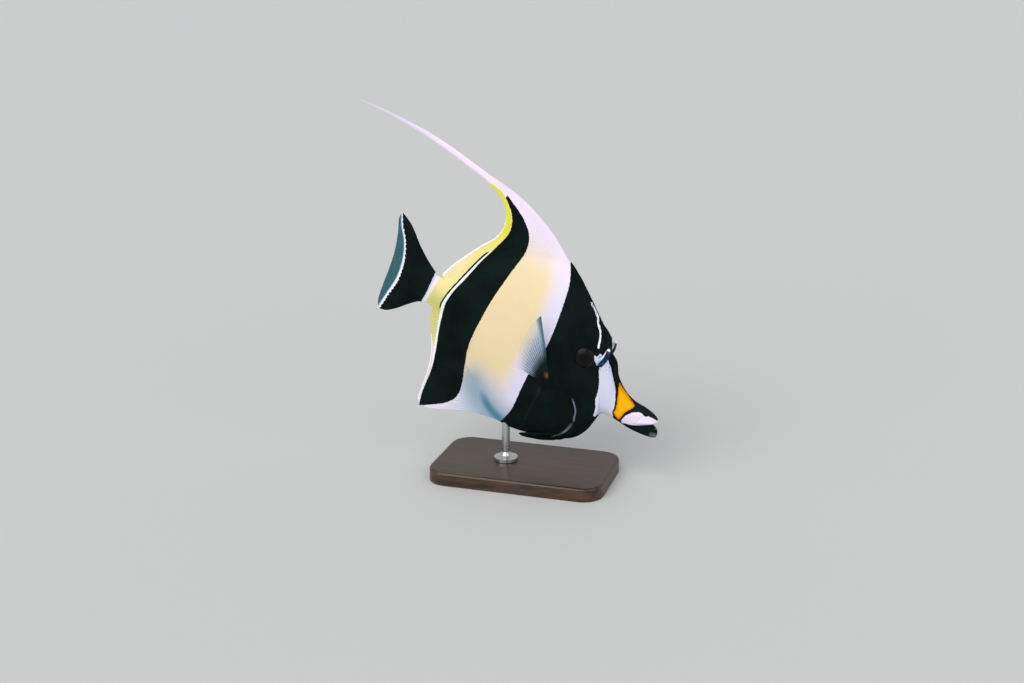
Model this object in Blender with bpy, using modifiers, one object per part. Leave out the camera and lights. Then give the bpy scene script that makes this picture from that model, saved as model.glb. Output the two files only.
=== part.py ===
"""A moorish idol at life size, nose down with its dorsal filament trailing, on a plain display stand.

The fish is modelled in its own frame, in millimetres: s runs along it from the root of the tail fin (0) to
the tip of the upper lip, h runs up it, and y runs across it to its left. An empty then tips it nose down over
the stand. The finished meshes are in metres, +Z up, with the origin under the middle of the stand's base.
"""

import math

import bmesh
import bpy
import numpy as np
from mathutils import Vector

MM = 0.001
GAP = 0.3

# Pose: where the root of the tail fin is, how far the nose tips down, and how the tail swings to the left.
TAIL_ROOT = (-56.8, 0.0, 108.0)
PITCH = math.radians(26.5)
SWING = 0.00096
SWING_STARTS = 45.0

# Head and body from tail to snout. Each row is one section: its back (s, h), its belly (s, h), its half
# width, and the half widths of its back edge and its belly edge.
SECTIONS = (
    ((-1.0, 8.6), (-1.0, -8.9), 1.7, 0.7, 0.7),
    ((4.0, 10.0), (6.0, -9.4), 3.0, 0.9, 0.9),
    ((14.0, 23.0), (18.0, -16.0), 5.0, 1.2, 1.1),
    ((26.0, 37.5), (32.0, -26.5), 7.4, 1.3, 1.2),
    ((38.0, 48.0), (46.0, -37.5), 9.4, 1.3, 1.2),
    ((50.0, 54.5), (60.0, -46.0), 11.2, 1.3, 1.2),
    ((62.0, 57.2), (76.0, -49.2), 12.4, 1.2, 1.2),
    ((72.0, 52.8), (103.0, -41.5), 11.9, 0.8, 1.4),
    ((80.0, 47.3), (109.0, -37.4), 10.3, 0.8, 1.5),
    ((88.0, 41.4), (114.0, -32.8), 8.9, 0.9, 1.5),
    ((96.0, 35.3), (117.2, -26.5), 8.2, 1.0, 1.4),
    ((103.6, 30.6), (118.6, -19.5), 8.1, 1.0, 1.2),
    ((110.6, 26.6), (119.6, -13.4), 7.7, 1.0, 1.0),
    ((114.6, 19.6), (122.5, -11.0), 6.8, 1.0, 1.0),
    ((119.0, 12.6), (127.0, -10.8), 5.6, 1.0, 1.0),
    ((126.5, 7.5), (132.0, -10.8), 5.1, 1.0, 1.2),
    ((134.0, 4.9), (137.2, -9.4), 4.6, 1.0, 2.2),
    ((141.0, 3.9), (142.4, -6.0), 4.1, 1.0, 2.7),
    ((146.5, 3.1), (147.0, -2.8), 3.2, 0.9, 2.3),
    ((149.4, 2.0), (149.2, -1.3), 2.2, 0.7, 1.3),
    ((150.5, 0.9), (150.3, -0.3), 0.9, 0.4, 0.6),
)
TAIL_END, TAIL_CUT, GILL, SNOUT_TIP = 0, 2, 7, 20
TAIL_COLUMNS, TORSO_COLUMNS, HEAD_COLUMNS = 6, 20, 44
BODY_ROWS = 22

# How full a section is between its edges: the fullness is lower where it is rounder, and the back half
# has the broad top of the forehead.
FULLNESS = (0.8, 0.8, 0.85, 0.85, 0.85, 0.85, 0.82, 0.75, 0.68, 0.6, 0.56, 0.53) + 9 * (0.5,)
BACK_POWER = 7 * (2.0,) + (2.1, 2.6, 3.4, 6.4, 9.0, 8.0, 4.4, 2.6) + 6 * (2.0,)
BELLY_POWER = 2.0

# The gill opening bows forward of a straight section, at these shares of its height from the belly.
GILL_BOW_AT = (0.0, 0.06, 0.13, 0.2, 0.27, 0.33, 0.4, 0.5, 1.0)
GILL_BOW = (0.0, 5.4, 10.4, 13.2, 12.4, 8.6, 2.6, 0.0, 0.0)
GILL_BOW_FADES = 5.0
GILL_STEP = 0.5
GILL_STEP_FADES = 0.12

# The lips thicken the lower edge of the upper jaw, from this section on.
LIP_STARTS = 16.0
LIP_SWELL = 0.7
LIP_AT = -0.62
LIP_WIDTH = 0.3

# Eye, its raised rim, horn and nostrils, the same on both sides of the head.
EYE = (97.4, 15.4)
EYE_RADIUS = 6.4
EYE_BULGE = 3.0
EYE_OUT = 7.9
RIM_REACH = 6.0
RIM_RADIUS = 0.8
RIM_POINTS = 20
HORN = ((105.4, 15.8), (105.9, 21.6), (106.7, 27.2))
HORN_OUT = (-0.5, 0.4)
HORN_TIP_OUT = 8.8
HORN_THICKNESS = (2.0, 1.8, 0.7)
NOSTRILS = ((108.0, 14.0, 0.8), (110.4, 16.8, 0.65))
NOSTRIL_DEPTH = 1.0

# Lower jaw, hinge to tip: upper edge, lower edge, half width. Its hinge end is cut to the head.
JAW = (
    ((133.6, -8.4), (133.6, -11.0), 3.2),
    ((137.6, -8.4), (137.6, -10.8), 3.7),
    ((141.6, -7.2), (141.4, -10.6), 3.7),
    ((145.4, -5.4), (145.4, -10.2), 3.4),
    ((149.2, -3.9), (149.2, -9.6), 2.9),
    ((152.2, -3.2), (152.4, -8.9), 2.0),
    ((154.0, -4.6), (154.4, -7.6), 0.9),
)
JAW_COLUMNS, JAW_ROWS = 12, 6

# Dorsal fin and anal fin: the sections where each starts and ends on its body edge, its front edge, and
# its rear edge from the tip to the body.
DORSAL_ROOTS = (6.12, 0.95)
DORSAL_FRONT = (
    (54.8, 62.4),
    (45.6, 67.4),
    (37.4, 70.8),
    (29.4, 73.5),
    (22.1, 75.2),
    (12.0, 76.4),
    (1.0, 77.1),
)
DORSAL_REAR = (
    (1.0, 73.5),
    (5.6, 72.1),
    (11.4, 70.0),
    (16.7, 66.2),
    (20.0, 61.4),
    (21.5, 55.4),
    (20.0, 47.4),
    (15.1, 39.6),
    (9.5, 29.4),
    (4.6, 19.6),
    (1.6, 11.6),
)
DORSAL_RAYS, DORSAL_ROWS = 22, 9
DORSAL_SPLIT = 21
ANAL_ROOTS = (5.7, 1.0)
ANAL_FRONT = ((64.5, -50.4), (52.5, -54.1), (44.0, -58.6), (36.0, -63.0), (29.0, -66.5), (23.6, -67.9))
ANAL_REAR = (
    (21.6, -65.0),
    (20.3, -57.5),
    (19.3, -47.6),
    (17.0, -37.4),
    (13.6, -28.8),
    (9.2, -21.2),
    (5.8, -14.8),
    (5.2, -11.2),
)
ANAL_RAYS, ANAL_ROWS = 18, 8

# Tail fin: its upper edge, its hollow rear edge from the top, and its lower edge.
TAIL_FIN_TOP = ((-8.5, 12.6), (-17.0, 17.9), (-29.8, 27.4), (-36.4, 30.0))
TAIL_FIN_REAR = (
    (-36.8, 28.2),
    (-33.6, 18.0),
    (-30.6, 7.0),
    (-29.2, -4.0),
    (-28.4, -15.0),
    (-26.6, -26.0),
    (-25.2, -28.9),
)
TAIL_FIN_BOTTOM = ((-5.0, -11.6), (-9.6, -16.4), (-15.4, -23.2), (-21.0, -27.8))
TAIL_FIN_RAYS, TAIL_FIN_ROWS = 14, 8

# Every fin has this half thickness at its edge, and each ray stands this far above the membrane.
FIN_EDGE = 0.3
RAY_RIDGE = 0.24

# The long spine that trails from the dorsal fin's tip: its upper edge, its depth and its half thickness.
FILAMENT_TOP = (
    (0.7, 77.1),
    (-13.0, 78.4),
    (-27.5, 79.4),
    (-41.8, 79.5),
    (-55.6, 78.5),
    (-69.5, 76.8),
    (-83.5, 74.4),
    (-90.0, 73.0),
)
FILAMENT_DEPTH = (3.6, 3.4, 3.2, 2.8, 2.3, 1.8, 1.1, 0.5)
FILAMENT_THICKNESS = (0.6, 0.28)
FILAMENT_COLUMNS = 30

# Paired fins: root line on the body, outer edge, rate of leaving the body, root half thickness, how deep
# the root line is sunk, and rays.
PECTORAL_BASE = ((83.8, -3.2), (81.4, -9.0))
PECTORAL_EDGE = ((66.2, 28.7), (63.8, 20.6), (63.0, 13.9), (63.4, 7.8), (64.6, -0.2), (67.6, -8.4))
PECTORAL_SHAPE = (0.3, 1.2, 1.4, 10)
PELVIC_BASE = ((111.2, -35.2), (109.6, -32.8))
PELVIC_EDGE = ((103.6, -42.2), (96.0, -46.2), (88.0, -48.0), (85.0, -47.6), (90.0, -43.8), (97.0, -39.6))
PELVIC_SHAPE = (0.06, 0.9, 1.5, 5)
SIDE_FIN_ROWS = 7

# Display stand: plate, and a rod with a foot, cupped at its top to the keel of the belly.
BASE_SIZE = (104.0, 62.0, 8.0)
BASE_CORNER = 12.0
BASE_RIM = 1.2
ROD_S = 75.0
ROD_SECTION = 5.93
ROD_RADIUS = 2.4
ROD_SINKS = 2.5
FOOT_RADIUS = 7.0
FOOT_EDGE = 1.8
FOOT_HEIGHT = 3.0
FOOT_NECK = 5.0
ROD_SIDES = 24


def hermite(knots, values):
    """A smooth function through the values at the knots."""
    knots = np.asarray(knots, float)
    values = np.asarray(values, float)
    steps = np.diff(knots)
    rises = (np.diff(values, axis=0).T / steps).T
    slopes = np.empty_like(values)
    slopes[0], slopes[-1] = rises[0], rises[-1]
    for i in range(1, len(knots) - 1):
        before, after = steps[i - 1], steps[i]
        slopes[i] = (rises[i - 1] * after + rises[i] * before) / (before + after)

    def at(x):
        i = int(np.clip(np.searchsorted(knots, x, side="right") - 1, 0, len(knots) - 2))
        u = (x - knots[i]) / steps[i]
        return (
            values[i] * (1 + 2 * u) * (1 - u) ** 2
            + slopes[i] * steps[i] * u * (1 - u) ** 2
            + values[i + 1] * u * u * (3 - 2 * u)
            + slopes[i + 1] * steps[i] * u * u * (u - 1)
        )

    return at


def through(points):
    """A smooth curve through the points, with its parameter from 0 to 1 along its length."""
    points = np.asarray(points, float)
    lengths = np.linalg.norm(np.diff(points, axis=0), axis=1)
    knots = np.concatenate([[0.0], np.cumsum(lengths)])
    return hermite(knots / knots[-1], points)


def patch(bottom, top, start, end, columns, rows):
    """A grid of points between four curves: bottom and top run from start to end."""
    grid = []
    for u in np.linspace(0, 1, columns + 1):
        column = []
        for v in np.linspace(0, 1, rows + 1):
            point = (1 - v) * bottom(u) + v * top(u) + (1 - u) * start(v) + u * end(v)
            corners = (1 - u) * ((1 - v) * bottom(0) + v * top(0)) + u * ((1 - v) * bottom(1) + v * top(1))
            column.append(point - corners)
        grid.append(column)
    return np.array(grid)


STATIONS = range(len(SECTIONS))
back_at = hermite(STATIONS, [row[0] for row in SECTIONS])
belly_at = hermite(STATIONS, [row[1] for row in SECTIONS])
width_at = hermite(STATIONS, [row[2] for row in SECTIONS])
back_edge_at = hermite(STATIONS, [row[3] for row in SECTIONS])
belly_edge_at = hermite(STATIONS, [row[4] for row in SECTIONS])
fullness_at = hermite(STATIONS, FULLNESS)
back_power_at = hermite(STATIONS, BACK_POWER)
gill_bow_at = hermite(GILL_BOW_AT, GILL_BOW)


def body_point(section, share):
    """The middle plane's point at a section, a share of the way from belly to back."""
    point = (1 - share) * belly_at(section) + share * back_at(section)
    fade = max(0.0, 1 - abs(section - GILL) / GILL_BOW_FADES)
    return point + np.array([max(0.0, gill_bow_at(share)) * fade, 0.0])


def half_thickness(section, share):
    """Half the body's thickness there, with the lip along the upper jaw's lower edge."""
    across = 2 * share - 1
    edge = back_edge_at(section) if across > 0 else belly_edge_at(section)
    power = back_power_at(section) if across > 0 else BELLY_POWER
    width = width_at(section)
    swell = max(0.0, 1 - abs(across) ** power) ** fullness_at(section)
    lip = np.clip(section - LIP_STARTS, 0, 1) * math.exp(-(((across - LIP_AT) / LIP_WIDTH) ** 2))
    return edge + (width - edge) * swell + LIP_SWELL * lip * min(1.0, width / 3)


SPOTS = [(along, share) for along in np.linspace(TAIL_END, SNOUT_TIP, 161) for share in np.linspace(0, 1, 61)]
SPOT_POINTS = np.array([body_point(*spot) for spot in SPOTS])


def side_half(s, h):
    """Half the body's thickness at a point of its side, found at the nearest section and share."""
    nearest = np.argmin(np.linalg.norm(SPOT_POINTS - (s, h), axis=1))
    return half_thickness(*SPOTS[nearest])


def place(s, h, y=0.0):
    """A point of the fish's frame in metres, with the tail's swing."""
    swing = SWING * max(0.0, SWING_STARTS - s) ** 2
    return Vector((s, y + swing, h)) * MM


def pillow(name, grid, half, at=place):
    """A closed mesh from a flat grid of points, with half its thickness on each side of the plane."""
    mesh = bmesh.new()
    columns, rows = len(grid), len(grid[0])
    left = [[mesh.verts.new(at(*grid[i][j], half[i][j])) for j in range(rows)] for i in range(columns)]
    right = [[mesh.verts.new(at(*grid[i][j], -half[i][j])) for j in range(rows)] for i in range(columns)]
    for sheet in (left, right):
        for i in range(columns - 1):
            for j in range(rows - 1):
                a, b, c, d = sheet[i][j], sheet[i + 1][j], sheet[i + 1][j + 1], sheet[i][j + 1]
                mesh.faces.new((a, b, c))
                mesh.faces.new((a, c, d))
    rim = [(i, 0) for i in range(columns)] + [(columns - 1, j) for j in range(1, rows)]
    rim += [(i, rows - 1) for i in range(columns - 2, -1, -1)] + [(0, j) for j in range(rows - 2, 0, -1)]
    for (i, j), (k, m) in zip(rim, rim[1:] + rim[:1]):
        mesh.faces.new((left[i][j], left[k][m], right[k][m]))
        mesh.faces.new((left[i][j], right[k][m], right[i][j]))
    bmesh.ops.recalc_face_normals(mesh, faces=mesh.faces)
    return add_object(name, mesh)


def add_object(name, mesh, parent=True):
    """The mesh as an object of the fish, or of the stand when it has no parent."""
    data = bpy.data.meshes.new(name)
    mesh.to_mesh(data)
    mesh.free()
    made = bpy.data.objects.new(name, data)
    parts.objects.link(made)
    if parent:
        made.parent = pose
    return made


def drawn_in(column, neighbour, gap):
    """The column of points moved by the gap, square to its own line and towards its neighbour."""
    along = np.gradient(column, axis=0)
    normal = np.stack([along[:, 1], -along[:, 0]], axis=1)
    normal /= np.linalg.norm(normal, axis=1)[:, None]
    side = np.sign(((neighbour - column) * normal).sum(axis=1).mean())
    return column + normal * gap * side


def body_shares():
    """Where a section's points lie between belly and back: closer together at its edges."""
    even = np.linspace(0, 1, BODY_ROWS + 1)
    return 0.3 * even + 0.7 * (1 - np.cos(math.pi * even)) / 2


def body_length(sections, first_cut=False, last_cut=False):
    """The grid and half thickness of a length of the body, its cut ends drawn in by half a gap."""
    grid = [np.array([body_point(section, share) for share in body_shares()]) for section in sections]
    half = [[half_thickness(section, share) for share in body_shares()] for section in sections]
    if first_cut:
        grid[0] = drawn_in(grid[0], grid[1], GAP / 2)
    if last_cut:
        grid[-1] = drawn_in(grid[-1], grid[-2], GAP / 2)
    return grid, half


def step_at_gill(sections, half):
    """Thins the body just behind the gill opening, so that the gill cover stands over it."""
    for section, column in zip(sections, half):
        step = GILL_STEP * math.exp(-(GILL - section) / GILL_STEP_FADES)
        column[:] = [thick - step * min(1, thick / 6) for thick in column]


def grown_body(name, sections):
    """The whole of head and body a gap larger all round, which cuts what grows from it."""
    grid, half = body_length(sections)
    for column in grid:
        reach = (column[-1] - column[0]) / np.linalg.norm(column[-1] - column[0])
        column[0] -= GAP * reach
        column[-1] += GAP * reach
    return pillow(name, grid, [[thick + GAP for thick in column] for column in half])


def ribbed(grid, root_half, rays, ray_starts=0.0, ray_full=0.25):
    """Half thickness of a fin: it thins from its root to its edge, and each ray is a ridge on it."""
    half = []
    for u in np.linspace(0, 1, len(grid)):
        ray = 0.5 + 0.5 * math.cos(2 * math.pi * rays * u)
        column = []
        for v in np.linspace(0, 1, len(grid[0])):
            membrane = FIN_EDGE + (root_half(u) - FIN_EDGE) * (1 - v) ** 1.6
            grows = np.clip((v - ray_starts) / (ray_full - ray_starts), 0, 1)
            column.append(membrane + RAY_RIDGE * ray * grows * (1 - 0.35 * v))
        half.append(column)
    return half


def median_fin(roots, edge_at, root_edge, front, rear, rays, rows, outward):
    """A fin on the back or the belly edge, its rays running from the body to its rear edge."""
    first, last = roots

    def root(u):
        return edge_at(first + (last - first) * u) + np.array([0.0, outward * GAP])

    rear_curve = through((front[-1], *rear))
    grid = patch(root, rear_curve, through((root(0), *front)), through((root(1), rear[-1])), 2 * rays, rows)
    return grid, ribbed(grid, lambda u: root_edge(first + (last - first) * u), rays)


def tail_fin(name):
    """The tail fin: rays fan from the end of the tail to the hollow rear edge."""
    back, belly = SECTIONS[TAIL_END][0], SECTIONS[TAIL_END][1]
    top, bottom = (back[0] - GAP, back[1]), (belly[0] - GAP, belly[1])
    rear = through((*TAIL_FIN_REAR[::-1], TAIL_FIN_TOP[-1]))
    lower = through((bottom, *TAIL_FIN_BOTTOM, TAIL_FIN_REAR[-1]))
    upper = through((top, *TAIL_FIN_TOP))
    grid = patch(through((bottom, top)), rear, lower, upper, 2 * TAIL_FIN_RAYS, TAIL_FIN_ROWS)
    return pillow(name, grid, ribbed(grid, lambda u: 0.7 + math.sin(math.pi * u), TAIL_FIN_RAYS))


def filament(name):
    """The long spine that trails from the tip of the dorsal fin, an oval strip that thins to its end."""
    top = through(FILAMENT_TOP)
    depth = hermite(np.linspace(0, 1, len(FILAMENT_DEPTH)), FILAMENT_DEPTH)
    grid, half = [], []
    for u in np.linspace(0, 1, FILAMENT_COLUMNS + 1):
        grid.append([top(u) - np.array([0.0, depth(u) * share]) for share in (1.0, 0.5, 0.0)])
        thick = np.interp(u, (0, 1), FILAMENT_THICKNESS)
        half.append([0.8 * thick, thick, 0.8 * thick])
    return pillow(name, grid, half)


def lower_jaw(name):
    """The lower jaw: flat inside the mouth and round below."""
    knots = range(len(JAW))
    upper = hermite(knots, [row[0] for row in JAW])
    lower = hermite(knots, [row[1] for row in JAW])
    width = hermite(knots, [row[2] for row in JAW])
    shares = np.linspace(0, 1, JAW_ROWS + 1)
    grid, half = [], []
    for along in np.linspace(0, len(JAW) - 1, JAW_COLUMNS + 1):
        grid.append([(1 - share) * lower(along) + share * upper(along) for share in shares])
        rounding = [0.35 + 0.65 * math.sin(math.pi * (0.12 + 0.6 * share)) for share in shares]
        half.append([width(along) * part for part in rounding])
    return pillow(name, grid, half)


def side_fin(name, side, base, edge, shape):
    """A fan of rays from a short root line on flank or belly to its outer edge, leaning off the body."""
    leaves, root_half, sink, rays = shape
    first, last = through((base[0], edge[0])), through((base[-1], edge[-1]))
    grid = patch(through(base), through(edge), first, last, 2 * rays, SIDE_FIN_ROWS)
    start, end = np.array(base[0]), np.array(base[-1])
    start_y, end_y = side_half(*start) - sink, side_half(*end) - sink

    def beside(s, h, y):
        along = np.clip(np.dot((s, h) - start, end - start) / np.dot(end - start, end - start), 0, 1)
        away = math.dist((s, h), start + along * (end - start))
        root_y = start_y + along * (end_y - start_y)
        return place(s, h, side * (root_y + leaves * away + y))

    return pillow(name, grid, ribbed(grid, lambda u: root_half, rays, 0.25, 0.6), beside)


def head_lean(side, s, h, reach):
    """The turn that lays something flat on the slope of the head's side."""
    narrows = side_half(s - reach, h) - side_half(s + reach, h)
    falls = side_half(s, h - reach) - side_half(s, h + reach)
    return Vector((0, side, 0)).rotation_difference(Vector((narrows, 2 * side * reach, falls)))


def ball(name, side, centre, radius, deep, out, segments, rings):
    """A sphere flattened on the side of the head: an eyeball, its socket or a nostril."""
    mesh = bmesh.new()
    bmesh.ops.create_uvsphere(mesh, u_segments=segments, v_segments=rings, radius=1.0)
    bmesh.ops.scale(mesh, verts=mesh.verts, vec=Vector((radius, deep, radius)) * MM)
    lean = head_lean(side, *centre, radius)
    bmesh.ops.rotate(mesh, verts=mesh.verts, cent=(0, 0, 0), matrix=lean.to_matrix())
    bmesh.ops.translate(mesh, verts=mesh.verts, vec=place(*centre, side * out))
    made = add_object(name, mesh)
    made.data.shade_smooth()
    return made


def tube(name, points, radii, closed=False):
    """A tube along the points as a closed mesh."""
    curve = bpy.data.curves.new(name + "_line", "CURVE")
    curve.dimensions = "3D"
    curve.bevel_depth = MM
    curve.bevel_resolution = 1
    curve.use_fill_caps = not closed
    curve.resolution_u = 3
    spline = curve.splines.new("POLY" if closed else "NURBS")
    spline.points.add(len(points) - 1)
    spline.use_cyclic_u = closed
    if not closed:
        spline.order_u = 3
        spline.use_endpoint_u = True
    for point, at, radius in zip(spline.points, points, radii):
        point.co = (*at, 1.0)
        point.radius = radius
    line = bpy.data.objects.new(name + "_line", curve)
    parts.objects.link(line)
    graph = bpy.context.evaluated_depsgraph_get()
    data = bpy.data.meshes.new_from_object(line.evaluated_get(graph))
    mesh = bmesh.new()
    mesh.from_mesh(data)
    bmesh.ops.remove_doubles(mesh, verts=mesh.verts, dist=1e-6)
    bmesh.ops.recalc_face_normals(mesh, faces=mesh.faces)
    bpy.data.objects.remove(line)
    return add_object(name, mesh)


def eye_rim(name, side):
    """A ring that lies half sunk in the head round the eye."""
    points = []
    for i in range(RIM_POINTS):
        angle = 2 * math.pi * i / RIM_POINTS
        spot = (EYE[0] + RIM_REACH * math.cos(angle), EYE[1] + RIM_REACH * math.sin(angle))
        points.append(place(*spot, side * (side_half(*spot) - RIM_RADIUS / 4)))
    return tube(name, points, RIM_POINTS * (RIM_RADIUS,), closed=True)


def round_edges(mesh, edges, radius, segments):
    """Rounds the edges off."""
    bmesh.ops.bevel(
        mesh, geom=edges, offset=radius * MM, segments=segments, profile=0.5, affect="EDGES", material=-1
    )


def stand_base(name):
    """A flat plate with round corners and a softened rim."""
    height = BASE_SIZE[2]
    mesh = bmesh.new()
    bmesh.ops.create_cube(mesh, size=1.0)
    bmesh.ops.scale(mesh, verts=mesh.verts, vec=Vector(BASE_SIZE) * MM)
    bmesh.ops.translate(mesh, verts=mesh.verts, vec=(0, 0, height / 2 * MM))
    upright = [edge for edge in mesh.edges if abs(edge.verts[0].co.z - edge.verts[1].co.z) > height / 2 * MM]
    round_edges(mesh, upright, BASE_CORNER, 6)
    rim = [edge for edge in mesh.edges if min(vert.co.z for vert in edge.verts) > (height - 0.01) * MM]
    round_edges(mesh, rim, BASE_RIM, 2)
    return add_object(name, mesh, parent=False)


def stand_rod(name):
    """A turned rod with a foot on the base."""
    belly = pose.matrix_world @ place(ROD_S, belly_at(ROD_SECTION)[1])
    bottom = BASE_SIZE[2] + GAP
    top = belly.z / MM + ROD_SINKS
    profile = (
        (0.0, top),
        (ROD_RADIUS, top),
        (ROD_RADIUS, bottom + FOOT_NECK),
        (ROD_RADIUS + 1.0, bottom + FOOT_HEIGHT),
        (FOOT_RADIUS, bottom + FOOT_EDGE),
        (FOOT_RADIUS, bottom),
        (0.0, bottom),
    )
    mesh = bmesh.new()
    line = [mesh.verts.new(Vector((radius, 0, z)) * MM) for radius, z in profile]
    for upper, lower in zip(line, line[1:]):
        mesh.edges.new((upper, lower))
    rod = add_object(name, mesh, parent=False)
    rod.location.x = belly.x
    screw = rod.modifiers.new("turned", "SCREW")
    screw.steps = ROD_SIDES
    screw.render_steps = ROD_SIDES
    screw.use_merge_vertices = True
    screw.merge_threshold = 1e-5
    return rod


def shape_with(obj, other, operation):
    """Cuts the other shape from the object, or joins it on, and keeps it out of the part."""
    modifier = obj.modifiers.new(other.name, "BOOLEAN")
    modifier.operation = operation
    modifier.object = other
    modifier.solver = "EXACT"
    if other.name not in helpers.objects:
        parts.objects.unlink(other)
        helpers.objects.link(other)
        other.hide_render = True
        other.display_type = "WIRE"


def painted(obj, name, colour, roughness, metallic=0.0):
    """Gives the object its material."""
    material = bpy.data.materials.get(name) or bpy.data.materials.new(name)
    material.use_nodes = True
    shader = material.node_tree.nodes["Principled BSDF"]
    shader.inputs["Base Color"].default_value = (*colour, 1.0)
    shader.inputs["Roughness"].default_value = roughness
    shader.inputs["Metallic"].default_value = metallic
    obj.data.materials.append(material)


def painted_black(obj, name):
    painted(obj, name, (0.02, 0.025, 0.025), 0.5)


def build_body():
    """Tail, torso and head from one run of sections, and the grown copy that cuts their fins."""
    tail_sections = np.linspace(TAIL_END, TAIL_CUT, TAIL_COLUMNS + 1)
    torso_sections = np.linspace(TAIL_CUT, GILL, TORSO_COLUMNS + 1)
    head_sections = np.linspace(GILL, SNOUT_TIP, HEAD_COLUMNS + 1)
    tail = pillow("tail", *body_length(tail_sections, last_cut=True))
    grid, half = body_length(torso_sections, first_cut=True, last_cut=True)
    step_at_gill(torso_sections, half)
    torso = pillow("torso", grid, half)
    head = pillow("head", *body_length(head_sections, first_cut=True))
    grown = grown_body("grown_body", [*tail_sections, *torso_sections[1:], *head_sections[1:]])
    painted(tail, "yellow_skin", (0.85, 0.8, 0.35), 0.5)
    painted(torso, "pale_skin", (0.9, 0.86, 0.66), 0.5)
    painted_black(head, "black_skin")
    return head, grown


def build_head_pieces(head, grown):
    """Jaw, eyes in their rimmed sockets, nostrils and horns."""
    jaw = lower_jaw("lower_jaw")
    shape_with(jaw, grown, "DIFFERENCE")
    painted_black(jaw, "black_skin")
    for side, word in ((-1, "right"), (1, "left")):
        shape_with(head, eye_rim("rim_" + word, side), "UNION")
        eye = ball("eye_" + word, side, EYE, EYE_RADIUS, EYE_BULGE, EYE_OUT, 20, 12)
        socket = ball("socket_" + word, side, EYE, EYE_RADIUS + GAP, EYE_BULGE + GAP, EYE_OUT, 20, 12)
        shape_with(head, socket, "DIFFERENCE")
        painted(eye, "eye", (0.01, 0.01, 0.012), 0.1)
        for number, (s, h, radius) in enumerate(NOSTRILS):
            pit = ball(f"nostril_{word}_{number}", side, (s, h), radius, NOSTRIL_DEPTH, side_half(s, h), 8, 6)
            shape_with(head, pit, "DIFFERENCE")
        outs = [side_half(*spot) + out for spot, out in zip(HORN, HORN_OUT)] + [HORN_TIP_OUT]
        points = [place(*spot, side * out) for spot, out in zip(HORN, outs)]
        horn = tube("horn_" + word, points, HORN_THICKNESS)
        shape_with(horn, grown, "DIFFERENCE")
        painted(horn, "horn", (0.03, 0.04, 0.05), 0.45)


def build_fins(grown):
    """All the fins, the dorsal fin in two lengths with its trailing spine."""
    grid, half = median_fin(
        DORSAL_ROOTS, back_at, back_edge_at, DORSAL_FRONT, DORSAL_REAR, DORSAL_RAYS, DORSAL_ROWS, 1
    )
    front, rear = grid[: DORSAL_SPLIT + 1].copy(), grid[DORSAL_SPLIT:].copy()
    front[-1] = drawn_in(front[-1], front[-2], GAP / 2)
    rear[0] = drawn_in(rear[0], rear[1], GAP / 2)
    pale = [
        pillow("dorsal_fin_front", front, half[: DORSAL_SPLIT + 1]),
        pillow("dorsal_fin_rear", rear, half[DORSAL_SPLIT:]),
        filament("dorsal_filament"),
    ]
    for piece in pale:
        painted(piece, "pale_fin", (0.9, 0.86, 0.8), 0.5)
    grid, half = median_fin(
        ANAL_ROOTS, belly_at, belly_edge_at, ANAL_FRONT, ANAL_REAR, ANAL_RAYS, ANAL_ROWS, -1
    )
    painted_black(pillow("anal_fin", grid, half), "black_fin")
    painted_black(tail_fin("caudal_fin"), "black_fin")
    for side, word in ((-1, "right"), (1, "left")):
        pectoral = side_fin("pectoral_fin_" + word, side, PECTORAL_BASE, PECTORAL_EDGE, PECTORAL_SHAPE)
        shape_with(pectoral, grown, "DIFFERENCE")
        painted(pectoral, "clear_fin", (0.6, 0.72, 0.78), 0.3)
        pelvic = side_fin("pelvic_fin_" + word, side, PELVIC_BASE, PELVIC_EDGE, PELVIC_SHAPE)
        shape_with(pelvic, grown, "DIFFERENCE")
        painted_black(pelvic, "black_fin")


def build_stand(grown):
    """The base and the rod."""
    painted(stand_base("stand_base"), "base_wood", (0.1, 0.06, 0.04), 0.4)
    rod = stand_rod("stand_rod")
    shape_with(rod, grown, "DIFFERENCE")
    painted(rod, "rod_metal", (0.55, 0.55, 0.56), 0.3, 1.0)


for old in list(bpy.data.objects):
    bpy.data.objects.remove(old, do_unlink=True)
parts = bpy.data.collections.new("moorish_idol")
helpers = bpy.data.collections.new("cutters")
for collection in (parts, helpers):
    bpy.context.scene.collection.children.link(collection)
pose = bpy.data.objects.new("fish_pose", None)
pose.location = Vector(TAIL_ROOT) * MM
pose.rotation_euler.y = PITCH
parts.objects.link(pose)
bpy.context.view_layer.update()
head_node, grown_node = build_body()
build_head_pieces(head_node, grown_node)
build_fins(grown_node)
build_stand(grown_node)
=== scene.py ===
"""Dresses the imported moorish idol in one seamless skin, rayed fins, eyes and a stand, and lights it.

The fish has its own frame, in millimetres: s runs along it from the root of the tail fin to the tip of the
upper lip, h runs up it and y across it. Each soft piece is first half a piece, a flank that stands y away
from the middle plane. Its outline is rounded in to that plane, it is mirrored, and it is then placed in the
world.
"""

import math
from collections import namedtuple

import bmesh
import bpy
import numpy as np
from bpy.props import FloatProperty, FloatVectorProperty, IntProperty, PointerProperty
from bpy.types import Operator, Panel, PropertyGroup
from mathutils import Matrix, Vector
from mathutils.kdtree import KDTree

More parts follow.
